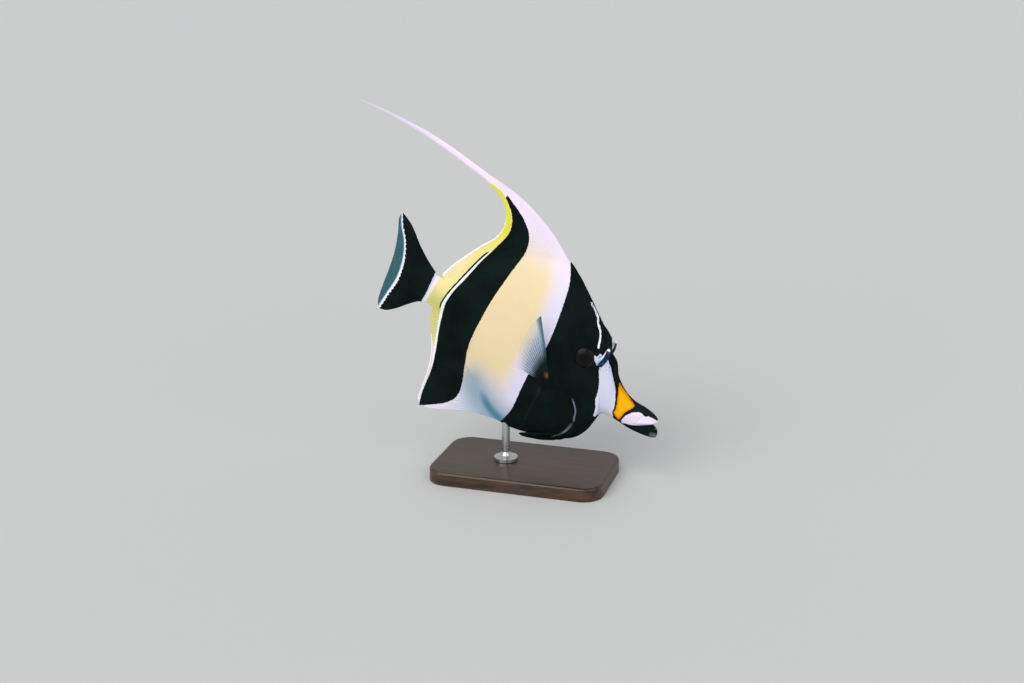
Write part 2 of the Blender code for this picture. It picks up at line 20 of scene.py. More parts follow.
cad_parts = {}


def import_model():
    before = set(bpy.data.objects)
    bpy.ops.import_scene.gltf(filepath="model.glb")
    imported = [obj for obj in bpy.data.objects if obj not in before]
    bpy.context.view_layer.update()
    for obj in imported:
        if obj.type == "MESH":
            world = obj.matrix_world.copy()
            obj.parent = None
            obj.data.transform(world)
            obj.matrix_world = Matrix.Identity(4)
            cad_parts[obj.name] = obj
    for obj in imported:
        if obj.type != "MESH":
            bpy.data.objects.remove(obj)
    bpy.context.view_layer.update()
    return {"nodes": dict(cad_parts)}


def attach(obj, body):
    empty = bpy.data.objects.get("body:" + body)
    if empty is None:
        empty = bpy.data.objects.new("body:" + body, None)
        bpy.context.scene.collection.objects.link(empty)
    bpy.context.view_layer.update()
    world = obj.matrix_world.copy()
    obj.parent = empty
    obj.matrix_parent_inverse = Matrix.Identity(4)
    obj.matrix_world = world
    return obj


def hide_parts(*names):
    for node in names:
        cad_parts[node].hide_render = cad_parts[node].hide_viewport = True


bl_info = {
    "name": "Moorish idol figure",
    "version": (1, 0, 0),
    "blender": (4, 5, 0),
    "location": "3D View > Sidebar > Moorish idol",
    "description": "Skin, fins, eyes, stand and studio for a life-size moorish idol",
    "category": "Object",
}

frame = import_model()

MM = 0.001
SIDES = ((-1, "right"), (1, "left"))

# Pose: the root of the tail fin, how far the nose tips down, and how the tail swings to the fish's left.
TAIL_ROOT = (-56.8, 108.0)
PITCH = math.radians(26.5)
SWING = 0.00096
SWING_STARTS = 45.0

# Head and body from tail to snout: the back (s, h), the belly (s, h), the half width, and the half widths of
# the back edge and the belly edge.
SECTIONS = (
    ((-1.0, 8.6), (-1.0, -8.9), 1.7, 0.7, 0.7),
    ((4.0, 10.0), (6.0, -9.4), 3.0, 0.9, 0.9),
    ((14.0, 23.0), (18.0, -16.0), 5.0, 1.2, 1.1),
    ((26.0, 37.5), (32.0, -26.5), 7.4, 1.3, 1.2),
    ((38.0, 48.0), (46.0, -37.5), 9.4, 1.3, 1.2),
    ((50.0, 54.5), (60.0, -46.0), 11.2, 1.3, 1.2),
    ((62.0, 57.2), (76.0, -49.2), 12.4, 1.2, 1.2),
    ((72.0, 52.8), (103.0, -41.5), 11.9, 0.8, 1.4),
    ((80.0, 47.3), (109.0, -37.4), 10.3, 0.8, 1.5),
    ((88.0, 41.4), (114.0, -32.8), 8.9, 0.9, 1.5),
    ((96.0, 35.3), (117.2, -26.5), 8.2, 1.0, 1.4),
    ((103.6, 30.6), (118.6, -19.5), 8.1, 1.0, 1.2),
    ((108.0, 22.9), (119.6, -13.4), 7.7, 1.0, 1.0),
    ((113.9, 18.9), (122.5, -11.0), 6.8, 1.0, 1.0),
    ((118.6, 12.2), (127.0, -10.8), 5.6, 1.0, 1.0),
    ((126.2, 6.6), (132.0, -10.8), 5.1, 1.0, 1.2),
    ((133.7, 4.1), (137.2, -9.4), 4.6, 1.0, 2.2),
    ((141.0, 3.9), (142.4, -6.0), 4.1, 1.0, 2.7),
    ((146.5, 3.1), (147.0, -2.8), 3.2, 0.9, 2.3),
    ((149.4, 2.0), (149.2, -1.3), 2.2, 0.7, 1.3),
    ((150.5, 0.9), (150.3, -0.3), 0.9, 0.4, 0.6),
)
GILL, SNOUT_TIP = 7, 20
FULLNESS = (0.8, 0.8, 0.85, 0.85, 0.85, 0.85, 0.82, 0.75, 0.68, 0.6, 0.56, 0.53) + 9 * (0.5,)
BACK_POWER = 7 * (2.0,) + (2.1, 2.6, 3.4, 6.4, 9.0, 8.0, 4.4, 2.6) + 6 * (2.0,)
BELLY_POWER = 2.0
GILL_BOW_AT = (0.0, 0.06, 0.13, 0.2, 0.27, 0.33, 0.4, 0.5, 1.0)
GILL_BOW = (0.0, 5.4, 10.4, 13.2, 12.4, 8.6, 2.6, 0.0, 0.0)
GILL_BOW_FADES = 5.0
GILL_STEP, GILL_STEP_FADES, GILL_THIN = 0.5, 0.12, 6.0
LIP_STARTS, LIP_SWELL, LIP_AT, LIP_WIDTH = 16.0, 0.7, -0.62, 0.3
THIN = 3.0

# Fins: the sections where each starts and ends on the body's edge, its front edge, and its rear edge.
DORSAL_ROOTS = (6.1, 0.95)
DORSAL_FRONT = (
    (54.8, 62.4), (45.6, 67.4), (37.4, 70.8), (29.4, 73.5), (22.1, 75.2), (12.0, 76.4), (1.0, 77.1),
)
DORSAL_REAR = (
    (1.0, 73.5), (5.6, 72.1), (11.4, 70.0), (16.7, 66.2), (20.0, 61.4), (21.5, 55.4), (20.0, 47.4),
    (15.1, 39.6), (9.5, 29.4), (4.6, 19.6), (1.6, 11.6),
)
ANAL_ROOTS = (5.7, 1.0)
ANAL_FRONT = ((64.5, -50.4), (52.5, -54.1), (44.0, -58.6), (36.0, -63.0), (29.0, -66.5), (23.6, -67.9))
ANAL_REAR = (
    (21.6, -65.0), (20.3, -57.5), (19.3, -47.6), (17.0, -37.4), (13.6, -28.8), (9.2, -21.2),
    (5.8, -14.8), (5.2, -11.2),
)
TAIL_FIN_TOP = ((-8.5, 12.6), (-17.0, 17.9), (-29.8, 27.4), (-36.4, 30.0))
TAIL_FIN_REAR = (
    (-36.8, 28.2), (-33.6, 18.0), (-30.6, 7.0), (-29.2, -4.0), (-28.4, -15.0), (-26.6, -26.0),
    (-25.2, -28.9),
)
TAIL_FIN_BOTTOM = ((-5.0, -11.6), (-9.6, -16.4), (-15.4, -23.2), (-21.0, -27.8))
FILAMENT_TOP = (
    (0.7, 77.1), (-13.0, 78.4), (-27.5, 79.4), (-41.8, 79.5), (-55.6, 78.5), (-69.5, 76.8),
    (-83.5, 74.4), (-90.0, 73.0),
)
FILAMENT_DEPTH = (3.6, 3.4, 3.2, 2.8, 2.3, 1.8, 1.1, 0.5)
FILAMENT_HALF, FILAMENT_JOIN, FILAMENT_EDGE = (0.6, 0.26), 0.12, 0.35

# How the body thins into the middle fins, and the sections over which that ends in front of each fin.
FIN_BLEND, FIN_BLEND_SHARE = 5.0, 0.12
DORSAL_BLEND_ENDS, ANAL_BLEND_ENDS = (6.0, 7.2), (5.6, 6.6)
MEMBRANE_EDGE, MEMBRANE_POWER = 0.26, 1.6
RAY_POWER, RAY_FALL, RAY_SPLIT_RUN, TAIL_RAY_SHARE = 1.5, 0.4, 0.15, 1.2
TAIL_COLUMNS, TAIL_ROWS, TAIL_FIN_HALF = 160, 70, (0.5, 0.8)

# Where a fin's rays start, stand full and split, as shares of its reach.
MIDDLE_RAYS, TAIL_RAYS, SIDE_RAYS = (0.02, 0.3), (0.08, 0.3, 0.5), (0.1, 0.3, 0.6)

# Paired fins: the root line, the edge, how far the fin leans out for each millimetre that it reaches, half
# its thickness at the root and at the edge, how deep its root is sunk, and its columns and rows.
SideFin = namedtuple("SideFin", "base edge lean root_half edge_half sink columns rows")
PECTORAL = SideFin(
    ((83.8, -3.2), (81.4, -9.0)),
    ((66.2, 28.7), (63.8, 20.6), (63.0, 13.9), (63.4, 7.8), (64.6, -0.2), (67.6, -8.4)),
    *(0.3, 1.1, 0.22, 1.4, 119, 60),
)
PELVIC = SideFin(
    ((111.2, -35.2), (109.6, -32.8)),
    ((103.6, -42.2), (96.0, -46.2), (88.0, -48.0), (85.0, -47.6), (90.0, -43.8), (97.0, -39.6)),
    *(0.06, 0.8, 0.22, 1.5, 48, 40),
)
PELVIC_RAYS = 6

# Columns of the skin from tail to snout, as the section where each stretch ends and its number of columns.
# The middle fins' columns are as long as the skin's, so their roots meet it point to point.
DORSAL_COLUMNS, DORSAL_ROWS, ANAL_COLUMNS, ANAL_ROWS = 206, 44, 188, 38
SKIN_COLUMNS = (
    (0.9, 18),
    (DORSAL_ROOTS[1], 1),
    (DORSAL_ROOTS[0], DORSAL_COLUMNS),
    (8.0, 34),
    (13.0, 80),
    (SNOUT_TIP, 80),
)
SKIN_ROWS, SKIN_ROWS_EVEN = 60, 0.35
FILAMENT_COLUMNS, FILAMENT_ROWS = 120, 8
RIM_ANGLES = (math.radians(30), math.radians(60), math.radians(90))
RIM_ROUNDING, RIM_MOST = 0.45, 0.6
WELD, MIDDLE_WELD = 0.004, 0.001
SPOT_BLUR = 0.5

# Lower jaw from hinge to tip: upper edge, lower edge, half width. Then its lip, as height, place and width,
# and its rounding from chin to lip, as the least width and the arc that it follows.
JAW = (
    ((132.4, -8.0), (132.4, -10.8), 2.6),
    ((137.6, -8.4), (137.6, -10.8), 3.7),
    ((141.6, -7.2), (141.4, -10.6), 3.7),
    ((145.4, -5.4), (145.4, -10.2), 3.4),
    ((149.2, -3.9), (149.2, -9.6), 2.9),
    ((151.8, -4.2), (152.2, -8.9), 2.0),
    ((153.4, -6.0), (153.8, -8.2), 0.9),
)
JAW_LIP, JAW_LIP_RISES = (0.35, 0.8, 0.16), (2.0, 3.5)
JAW_EDGE, JAW_ARC = 0.35, (0.12, 0.6)
MOUTH_ROOF = ((131.5, -6.6), (137.0, -6.6), (142.0, -3.4), (146.0, -1.4), (148.4, -0.4))
MOUTH_FLOOR = ((131.5, -9.6), (137.0, -9.4), (142.0, -7.9), (146.0, -6.2), (150.0, -4.8))
MOUTH_HALF_AT, MOUTH_HALF = (0, 0.4, 1), (2.2, 2.4, 1.0)

# Teeth: the line of each row, the way its teeth point, and how far out they stand.
TOOTH_ROWS = (
    (((144.6, -4.0), (147.0, -2.4), (148.9, -1.3)), -1, 1.9),
    (((146.8, -5.3), (149.4, -4.2), (151.6, -3.8)), 1, 1.7),
)
TEETH_IN_ROW, TOOTH_LENGTH, TOOTH_FOOT, TOOTH_TIP, TOOTH_LEAN = 9, 1.3, 0.24, 0.05, 0.25
TOOTH_ROW_NARROWS = 0.8

# Eyes, their orbits and sockets, the horns in front of them, and the nostrils.
EYE = (97.4, 15.4)
EYE_RADIUS, EYE_BULGE, EYE_OUT = 6.4, 3.0, 7.9
ORBIT_HEIGHT, ORBIT_RADIUS, ORBIT_WIDTH = 0.75, 6.0, 0.75
SOCKET_DEPTH, SOCKET_EDGE = 3.6, (4.0, 5.6)
HORN = ((106.4, 15.6), (107.6, 21.5), (107.2, 27.3))
HORN_OUT = (-0.5, 0.4)
HORN_TIP_OUT = 8.8
HORN_RADII = (2.0, 1.85, 0.8)
HORN_BLUNTS, HORN_INWARD = 0.1, 0.75
NOSTRILS = ((108.4, 13.6, 0.7), (110.6, 16.8, 0.6))
NOSTRIL_DEPTH, NOSTRIL_RIM, NOSTRIL_RIM_AT, NOSTRIL_RIM_WIDTH = 0.9, 0.22, 1.4, 0.35

# Markings, all in the fish's frame. The head's black starts at this line, and the white face, the saddle and
# the pale lip are islands in it.
HEAD_BLACK = (
    (62.6, 61.0), (64.2, 57.4), (67.9, 51.5), (70.3, 46.4), (72.3, 38.7), (74.2, 28.5), (75.6, 18.4),
    (76.0, 8.7), (75.0, 0.1), (74.2, -8.5), (74.2, -21.7), (74.5, -30.7), (74.2, -38.7), (72.1, -47.4),
    (71.0, -53.0),
)
FACE = (
    (107.5, 13.6), (107.6, 17.9), (108.5, 19.6), (109.5, 20.2), (113.7, 16.2), (117.5, 11.2),
    (121.2, 6.4), (123.9, 1.3), (125.4, -2.8), (125.6, -6.2), (127.6, -9.6), (128.6, -13.0),
    (117.4, -13.6), (116.8, -9.0), (114.1, -4.1), (113.1, 1.6), (111.2, 6.8), (109.2, 10.4),
)
CHEEK_SPOT = (
    (101.2, 19.8), (103.4, 19.3), (104.1, 22.0), (105.4, 21.4), (106.4, 17.4), (105.7, 14.6),
    (103.8, 16.1),
)
SADDLE = (
    (121.0, 10.0), (124.0, 8.0), (127.4, 6.4), (131.0, 4.6), (134.9, 3.2), (134.6, 1.6), (133.4, -0.2),
    (132.1, -2.6), (131.4, -6.4), (131.0, -8.9), (128.6, -8.2), (126.4, -6.4), (126.5, -3.4),
    (125.6, 0.1), (123.8, 4.5),
)
PALE_LIP = (
    (132.4, -9.0), (133.2, -4.2), (135.4, -0.8), (138.6, 1.5), (141.0, 1.5), (142.7, 0.5), (144.6, 1.9),
    (147.2, 2.0), (151.6, 1.2), (151.6, -3.0), (144.0, -9.0), (136.0, -13.0),
)
LIP_FOLD = ((142.5, 1.4), (142.0, -0.6), (141.2, -3.0), (140.4, -6.0))
BROW_NEAR = (
    (85.2, 43.2), (88.4, 41.0), (91.0, 39.0), (93.0, 37.2), (95.0, 34.9), (97.4, 32.9), (99.2, 30.5),
    (100.3, 28.0), (101.5, 24.4),
)
BROW_FAR = (
    (85.0, 43.5), (88.6, 41.2), (91.5, 39.1), (94.5, 36.6), (97.7, 34.2), (100.4, 32.3), (102.3, 31.2),
    (103.7, 29.6), (104.3, 26.5),
)
BROW_AT, BROW_HALF = (24.0, 32.0, 41.0), (0.54, 0.42, 0.2)

# The rear band, and behind it a white line with a fine dark line along it.
REAR_BAND_FRONT = (
    (13.6, 73.6), (17.2, 71.6), (22.3, 69.3), (28.4, 66.2), (33.5, 62.4), (37.1, 58.1), (38.9, 53.4),
    (39.3, 48.4), (38.8, 43.3), (37.9, 36.9), (37.1, 30.5), (36.4, 24.3), (35.7, 18.1), (35.3, 11.2),
    (35.0, 2.0), (34.7, -7.8), (35.0, -16.6), (36.2, -24.2), (38.2, -31.7), (40.7, -39.4),
    (42.0, -46.2), (41.4, -51.3), (38.3, -56.6), (33.5, -61.1), (26.8, -66.2),
)
REAR_BAND_REAR = (
    (13.4, 71.8), (18.3, 68.1), (22.5, 63.9), (25.0, 59.1), (25.8, 54.9), (25.2, 50.4), (23.8, 45.6),
    (22.1, 40.5), (18.5, 30.0), (16.6, 22.6), (14.9, 15.8), (13.2, 10.2), (11.9, 3.6), (11.4, -1.5),
    (11.9, -6.8), (13.0, -14.2), (14.8, -21.3), (17.0, -28.5), (18.4, -33.5), (19.9, -39.2),
    (21.0, -45.8), (21.5, -54.7), (22.2, -61.8), (23.8, -68.4),
)
BAND_TIP, BAND_TIP_SLOPE = 15.2, 0.5
WHITE_LINE_REAR = (
    (26.6, 50.4), (24.4, 45.6), (21.9, 41.0), (20.2, 37.6), (17.2, 29.9), (15.0, 22.4), (13.0, 15.2),
    (11.2, 8.3), (9.8, 1.8), (9.3, -3.2), (9.9, -8.2), (11.6, -15.5), (13.5, -22.2), (15.7, -29.2),
)
WHITE_LINE_GAP = 0.3
DARK_LINE_HALF, DARK_LINE_AT, DARK_LINE_GONE = 0.55, 0.25, 0.2

# The yellow strip behind the band, how lemon it is from foot to top, and how far it glows past the white
# line.
YELLOW_TOP = (
    (19.0, 69.6), (15.5, 71.3), (10.3, 73.0), (5.0, 73.7), (0.5, 73.9), (-3.0, 74.1), (-6.0, 73.9),
    (-30.0, 71.0),
)
LEMON_AT = (-30.0, -18.0, -8.0, 4.0, 22.0, 42.0, 54.0, 70.0)
LEMON = (0.6, 0.5, 0.8, 0.4, 0.12, 0.6, 1.0, 1.0)
GLOW_AT = 2.2

# Pale edges of the middle fins, with the dorsal fin's waves in radians for each millimetre, and how high that
# fin's tip starts.
DORSAL_MARGIN_AT, DORSAL_MARGIN = (10.0, 24.0, 40.0, 56.0, 63.0), (1.2, 1.1, 0.85, 0.5, 0.2)
MARGIN_ENDS, MARGIN_WAVER, MARGIN_WAVES = (8.0, 63.0), 0.22, 3.2
ANAL_EDGE_TOP = -24.0
FIN_TIP = 60.0

# Soft tints. Each is a strength, and spans: what is measured, where the tint is nothing and where it is full.
# Measured are the place (s, h), the way past a line (head, band, root, stalk, top, glow, trail), and the
# share of a paired fin (reach, across, ray).
# Among them, the shade tints, the broad one too, are painted shade, the fin's root and lower tints are
# painted shadow on the pectoral fin, and the glints are painted highlights.
TINTS = {
    "cream": (1.0, ("head", 2.0, 15.0), ("h", 66.0, 40.0)),
    "cream_loss": (0.85, ("root", -1.0, -7.0), ("h", -36.0, -44.0)),
    "cool_belly": (0.9, ("h", -14.0, -46.0), ("s", 34.0, 50.0)),
    "cool_shoulder": (0.45, ("head", 14.0, 4.0), ("h", 60.0, 34.0)),
    "stalk": (1.0, ("stalk", 1.8, -0.4), ("h", 20.0, 14.0)),
    "strip": (1.0, ("band", -0.6, 0.6), ("h", -29.0, -26.0), ("top", -0.2, 0.6)),
    "strip_shade": (0.24, ("h", 8.0, -3.0)),
    "glow": (0.55, ("glow", -1.8, -0.2), ("h", 44.0, 30.0), ("h", -8.0, 0.0)),
    "shade": (0.97, ("s", 42.0, 60.0)),
    "broad_shade": (0.58, ("s", 26.0, 44.0), ("h", -4.0, -20.0)),
    "low_shade": (0.1, ("h", 0.0, -24.0), ("root", 0.0, 4.0)),
    "filament_shade": (0.3, ("s", -20.0, -90.0)),
    "dark_line": (1.0, ("h", -9.0, -5.0), ("h", 40.0, 36.0)),
    "anal_edge": (0.5, ("h", -22.0, -30.0)),
    "mottle": (1.0, ("h", 8.0, 20.0)),
    "snout_glint": (0.01, ("s", 126.0, 132.0), ("h", -1.0, 2.0)),
    "jaw_glint": (0.3, ("s", 149.0, 152.0), ("h", -5.0, -6.6)),
    "clear": (1.0, ("trail", -0.2, -1.0)),
    "fin_root_shadow": (1.0, ("reach", 0.56, 0.2)),
    "fin_lower_shadow": (0.7, ("across", 0.84, 1.0), ("reach", 0.75, 0.3)),
    "fin_ray": (1.0, ("ray", 0.35, 0.9)),
    "fin_lead": (1.0, ("across", 0.16, 0.02)),
}
# Painted shade lies along this line, where the belly turns under into the anal fin's root.
BODY_ANAL = ((76.0, -48.6), (72.1, -47.4), (65.8, -45.7), (59.8, -42.7), (53.1, -38.9), (46.7, -34.3))
STALK_SLOPE = 0.12
# What the stalk takes from the cream, and the line that the cream starts from, low on the flank.
CREAM_LOSS, CREAM_FOOT, CREAM_FOOT_SLOPE, CREAM_FOOT_FULL = 0.85, -78.0, 0.3, -16.0
# How far the face and the lip keep their own blue past their edges.
ISLAND_RIM, FACE_COOL, LIP_COOL = 1.5, 0.8, 0.15
SHADE_AT, SHADE_WIDTH, BROAD_SHADE_AT, BROAD_SHADE_WIDTH = 1.2, 4.6, 3.0, 10.5

# Soft strokes: the line, its half width, how far in it is full, and its strength. The gill and flank strokes
# are painted highlights, the stalk stroke is painted shade, and the rust stroke is the streak's own colour.
GILL_GLINT = ((103.4, -9.7), (107.3, -14.5), (109.2, -20.8), (108.7, -28.5), (105.9, -34.5), (102.8, -39.4))
GILL_GLINT_STROKE = (GILL_GLINT, 0.55, 0.5, 0.36)
FLANK_GLINT_STROKE = (((83.7, -14.0), (83.9, -28.5), (83.8, -41.0)), 0.5, 0.5, 0.015)
RUST_STROKE = (((78.7, -3.0), (82.2, -3.8), (86.2, -5.6)), 0.75, 0.7, 0.9)
# Painted shade along the lower edge of the tail's stalk.
STALK_SHADE_STROKE = (((-1.4, -9.6), (2.9, -9.6), (5.6, -10.0)), 0.7, 0.5, 0.7)

# Relief: ridges along lines, with their height and width, and mounds with their place, widths and height.
RIDGES = ((GILL_GLINT, 0.35, 0.8), (BROW_NEAR, 0.3, 0.8), (LIP_FOLD, -0.45, 0.45))
MOUNDS = (((138.6, -1.2), (2.4, 2.6), 0.4), ((82.6, -6.0), (3.0, 4.2), 0.5))

# Tail fin: where its black starts, and the jagged white line before its clear margin. A jag is its height and
# its waves, in radians for each millimetre.
TAIL_BLACK = ((-2.8, 14.0), (-2.3, 2.0), (-2.2, -2.8), (-3.0, -13.0))
TAIL_TRAIL = (
    (-37.0, 31.0), (-33.2, 23.4), (-27.9, 16.5), (-23.8, 6.7), (-22.1, -5.5), (-23.7, -18.5),
    (-25.3, -31.0),
)
TAIL_LINE_AT, TAIL_LINE_HALF = (-26.0, -6.0, 8.0, 28.0), (0.62, 0.85, 0.5, 0.22)
TAIL_JAGS = ((0.3, 1.1), (0.22, 2.7), (0.12, 5.3))

# Studio: each light's name, the way to it and its strength.
LIGHTS = (("key_light", (-0.35, -1.0, 0.75), 1.7), ("fill_light", (0.9, -0.6, 0.4), 0.5))
LIGHT_SPREAD = math.radians(50)
SKY_COLOUR, SKY_STRENGTH = (0.95, 0.97, 1.0, 1.0), 0.62
FLOOR_COLOUR = (0.62, 0.62, 0.61, 1.0)
CAMERA_TARGET = (-0.008, 0.0, 0.0811)
SENSOR_WIDTH = 36.0


def smooth(knots, values):
    """A smooth function through the values at the knots. It takes a number or an array of them."""
    knots = np.asarray(knots, float)
    values = np.asarray(values, float)
    steps = np.diff(knots)
    rises = (np.diff(values, axis=0).T / steps).T
    inner = ((rises[:-1].T * steps[1:] + rises[1:].T * steps[:-1]) / (steps[:-1] + steps[1:])).T
    slopes = np.concatenate([rises[:1], inner, rises[-1:]])

    def at(x):
        x = np.asarray(x, float)
        i = np.clip(np.searchsorted(knots, x, side="right") - 1, 0, len(knots) - 2)
        step = steps[i]
        u = (x - knots[i]) / step
        if values.ndim > 1:
            step, u = step[..., None], u[..., None]
        return (
            values[i] * (1 + 2 * u) * (1 - u) ** 2
            + slopes[i] * step * u * (1 - u) ** 2
            + values[i + 1] * u * u * (3 - 2 * u)
            + slopes[i + 1] * step * u * u * (u - 1)
        )

    return at


def through(points):
    """A smooth curve through the points, with its parameter from 0 to 1 along its length."""
    points = np.asarray(points, float)
    lengths = np.linalg.norm(np.diff(points, axis=0), axis=1)
    knots = np.concatenate([[0.0], np.cumsum(lengths)])
    return smooth(knots / knots[-1], points)


def fade(x, low, high):
    """Rises smoothly from 0 at low to 1 at high."""
    t = np.clip((x - low) / (high - low), 0, 1)
    return t * t * (3 - 2 * t)


def hump(away, width):
    """1 where away is 0, and next to nothing past twice the width."""
    return np.exp(-((away / width) ** 2))


def shares(columns, rows, length=1.0):
    """A grid's way along, up to the length, and its way across, up to 1."""
    return np.meshgrid(np.linspace(0, length, columns + 1), np.linspace(0, 1, rows + 1), indexing="ij")


def between(first, second, share):
    """Points at shares of the way from the first to the second."""
    return (1 - share)[..., None] * first + share[..., None] * second


def patch(bottom, top, start, end, columns, rows):
    """A grid of points between four curves, and its shares: bottom and top run from start to end."""
    u, v = shares(columns, rows)
    first, last = between(bottom(0.0), top(0.0), v), between(bottom(1.0), top(1.0), v)
    points = between(bottom(u), top(u), v) + between(start(v), end(v), u) - between(first, last, u)
    return points, u, v


STATIONS = range(len(SECTIONS))
columns_at = [smooth(STATIONS, column) for column in zip(*SECTIONS)]
back_at, belly_at, width_at, back_edge_at, belly_edge_at = columns_at
fullness_at = smooth(STATIONS, FULLNESS)
back_power_at = smooth(STATIONS, BACK_POWER)
gill_bow_at = smooth(GILL_BOW_AT, GILL_BOW)


def flank_points(section, share):
    """The middle plane's points at the sections, at shares of the way from belly to back."""
    points = between(belly_at(section), back_at(section), share)
    near_gill = np.clip(1 - np.abs(section - GILL) / GILL_BOW_FADES, 0, None)
    points[..., 0] += np.clip(gill_bow_at(share), 0, None) * near_gill
    return points


def flank_half(section, share):
    """Half the body's thickness there, as in the solid it stands for."""
    across = 2 * share - 1
    upper = across > 0
    edge = np.where(upper, back_edge_at(section), belly_edge_at(section))
    power = np.where(upper, back_power_at(section), BELLY_POWER)
    width = width_at(section)
    swell = np.clip(1 - np.abs(across) ** power, 0, None) ** fullness_at(section)
    lip = np.clip(section - LIP_STARTS, 0, 1) * hump(across - LIP_AT, LIP_WIDTH)
    tall = np.hypot(*np.moveaxis(back_at(section) - belly_at(section), -1, 0))
    depth = (1 - np.abs(across)) / 2 * tall
    ended = np.where(upper, fade(section, *DORSAL_BLEND_ENDS), fade(section, *ANAL_BLEND_ENDS))
    blend = np.minimum(FIN_BLEND, FIN_BLEND_SHARE * tall) * (1 - ended)
    swell = swell * (depth**2 + 1e-6) / (depth**2 + blend**2 + 1e-6)
    half = edge + (width - edge) * swell + LIP_SWELL * lip * np.clip(width / THIN, 0, 1)
    step = GILL_STEP * np.exp(-np.clip(GILL - section, 0, None) / GILL_STEP_FADES) * (section < GILL)
    return half - step * np.clip(half / GILL_THIN, 0, 1)


SPOT_SECTIONS, SPOT_SHARES = shares(240, 80, SNOUT_TIP)
SPOTS = flank_points(SPOT_SECTIONS, SPOT_SHARES)
SPOT_HALVES = flank_half(SPOT_SECTIONS, SPOT_SHARES)


def side_half(s, h):
    """Half the body's thickness at a point of its side, as a mean of the nearest worked-out spots."""
    away = np.hypot(SPOTS[..., 0] - s, SPOTS[..., 1] - h)
    weight = hump(away, away.min() + SPOT_BLUR)
    return float((SPOT_HALVES * weight).sum() / weight.sum())


def world(s, y, h):
    """Points of the fish's frame, in millimetres, as places in the world in metres."""
    sway = SWING * np.clip(SWING_STARTS - s, 0, None) ** 2
    x = TAIL_ROOT[0] + s * math.cos(PITCH) + h * math.sin(PITCH)
    z = TAIL_ROOT[1] - s * math.sin(PITCH) + h * math.cos(PITCH)
    return np.stack([x, y + sway, z], axis=-1) * MM


def add_sheet(mesh, points, half):
    """Adds a grid whose vertices stand at the points, half a thickness out from the middle plane."""
    columns, rows = points.shape[0] - 1, points.shape[1] - 1
    made = bmesh.ops.create_grid(mesh, x_segments=columns, y_segments=rows, size=1.0)["verts"]
    for vert in made:
        i = round((vert.co.x + 1) / 2 * columns)
        j = round((vert.co.y + 1) / 2 * rows)
        vert.co = (points[i, j, 0], half[i, j], points[i, j, 1])


def close_flank(mesh):
    """Rounds the flank's outline in to the middle plane, and mirrors the flank there."""
    outline = [edge for edge in mesh.edges if edge.is_boundary]
    outward = {}
    for edge in outline:
        start, end = edge.verts
        along = end.co - start.co
        way = Vector((along.z, 0, -along.x)).normalized()
        if way.dot(start.co - edge.link_faces[0].calc_center_median()) < 0:
            way.negate()
        for vert in edge.verts:
            outward[vert] = outward.get(vert, Vector()) + way
    rim = {vert: (vert.co.copy(), way.normalized()) for vert, way in outward.items()}
    for angle in RIM_ANGLES:
        made = bmesh.ops.extrude_edge_only(mesh, edges=outline)["geom"]
        grown = {}
        for vert in (item for item in made if isinstance(item, bmesh.types.BMVert)):
            old = next(edge.other_vert(vert) for edge in vert.link_edges if edge.other_vert(vert) in rim)
            start, way = rim[old]
            vert.co = start + way * min(RIM_ROUNDING * start.y, RIM_MOST) * math.sin(angle)
            vert.co.y = max(0.0, start.y * math.cos(angle))
            grown[vert] = rim[old]
        rim = grown
        open_edges = [edge for edge in mesh.edges if edge.is_boundary]
        outline = [edge for edge in open_edges if all(vert in rim for vert in edge.verts)]
    for vert in rim:
        vert.co.y = 0.0
    whole = mesh.verts[:] + mesh.edges[:] + mesh.faces[:]
    bmesh.ops.mirror(mesh, geom=whole, axis="Y", merge_dist=MIDDLE_WELD)
    bmesh.ops.recalc_face_normals(mesh, faces=mesh.faces)


def flank_mesh(*sheets):
    """A closed mesh of the sheets, welded where they meet, and of their mirror images."""
    mesh = bmesh.new()
    for points, half in sheets:
        add_sheet(mesh, points, half)
    if len(sheets) > 1:
        bmesh.ops.remove_doubles(mesh, verts=mesh.verts, dist=WELD)
    close_flank(mesh)
    return mesh


def mesh_data(name, mesh):
    """The bmesh as an object's mesh."""
    data = bpy.data.meshes.new(name)
    mesh.to_mesh(data)
    mesh.free()
    return data


def add_object(name, data):
    """A new object of the scene."""
    made = bpy.data.objects.new(name, data)
    bpy.context.scene.collection.objects.link(made)
    return made


SOFT_MARKS = ("cream", "cool", "shade", "yellow", "lemon", "glint", "rust", "mottle", "clear")
NO_MARKS = {"black": 1.0, "white_line": -1.0, "saddle": -1.0, **dict.fromkeys(SOFT_MARKS, 0.0)}


def finish_piece(name, mesh, material, nodes, places=world, marks=None):
    """Makes the mesh a piece in the world that stands for the nodes, with its markings as attributes."""
    data = mesh_data(name, mesh)
    own = np.zeros(len(data.vertices) * 3)
    data.vertices.foreach_get("co", own)
    s, y, h = own.reshape(-1, 3).T
    for mark, values in {**NO_MARKS, **(marks(s, y, h) if marks else {})}.items():
        values = np.broadcast_to(np.asarray(values, np.float32), s.shape)
        data.attributes.new(mark, "FLOAT", "POINT").data.foreach_set("value", np.ascontiguousarray(values))
    data.vertices.foreach_set("co", places(s, y, h).ravel())
    data.update()
    data.shade_smooth()
    data.materials.append(material)
    piece = add_object(name, data)
    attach(piece, "root")
    if nodes:
        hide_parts(*nodes)
    return piece


def nearest_spots(points, s, h):
    """The number of the grid point that is nearest to each place."""
    flat = points.reshape(-1, 2)
    tree = KDTree(len(flat))
    for number, spot in enumerate(flat):
        tree.insert((*spot, 0.0), number)
    tree.balance()
    return np.array([tree.find((a, b, 0.0))[1] for a, b in zip(s, h)])


def comb(u, teeth):
    """A wave from 0 to 1 that is 1 at each ray of a fin."""
    return 0.5 + 0.5 * np.cos(2 * math.pi * teeth * u)


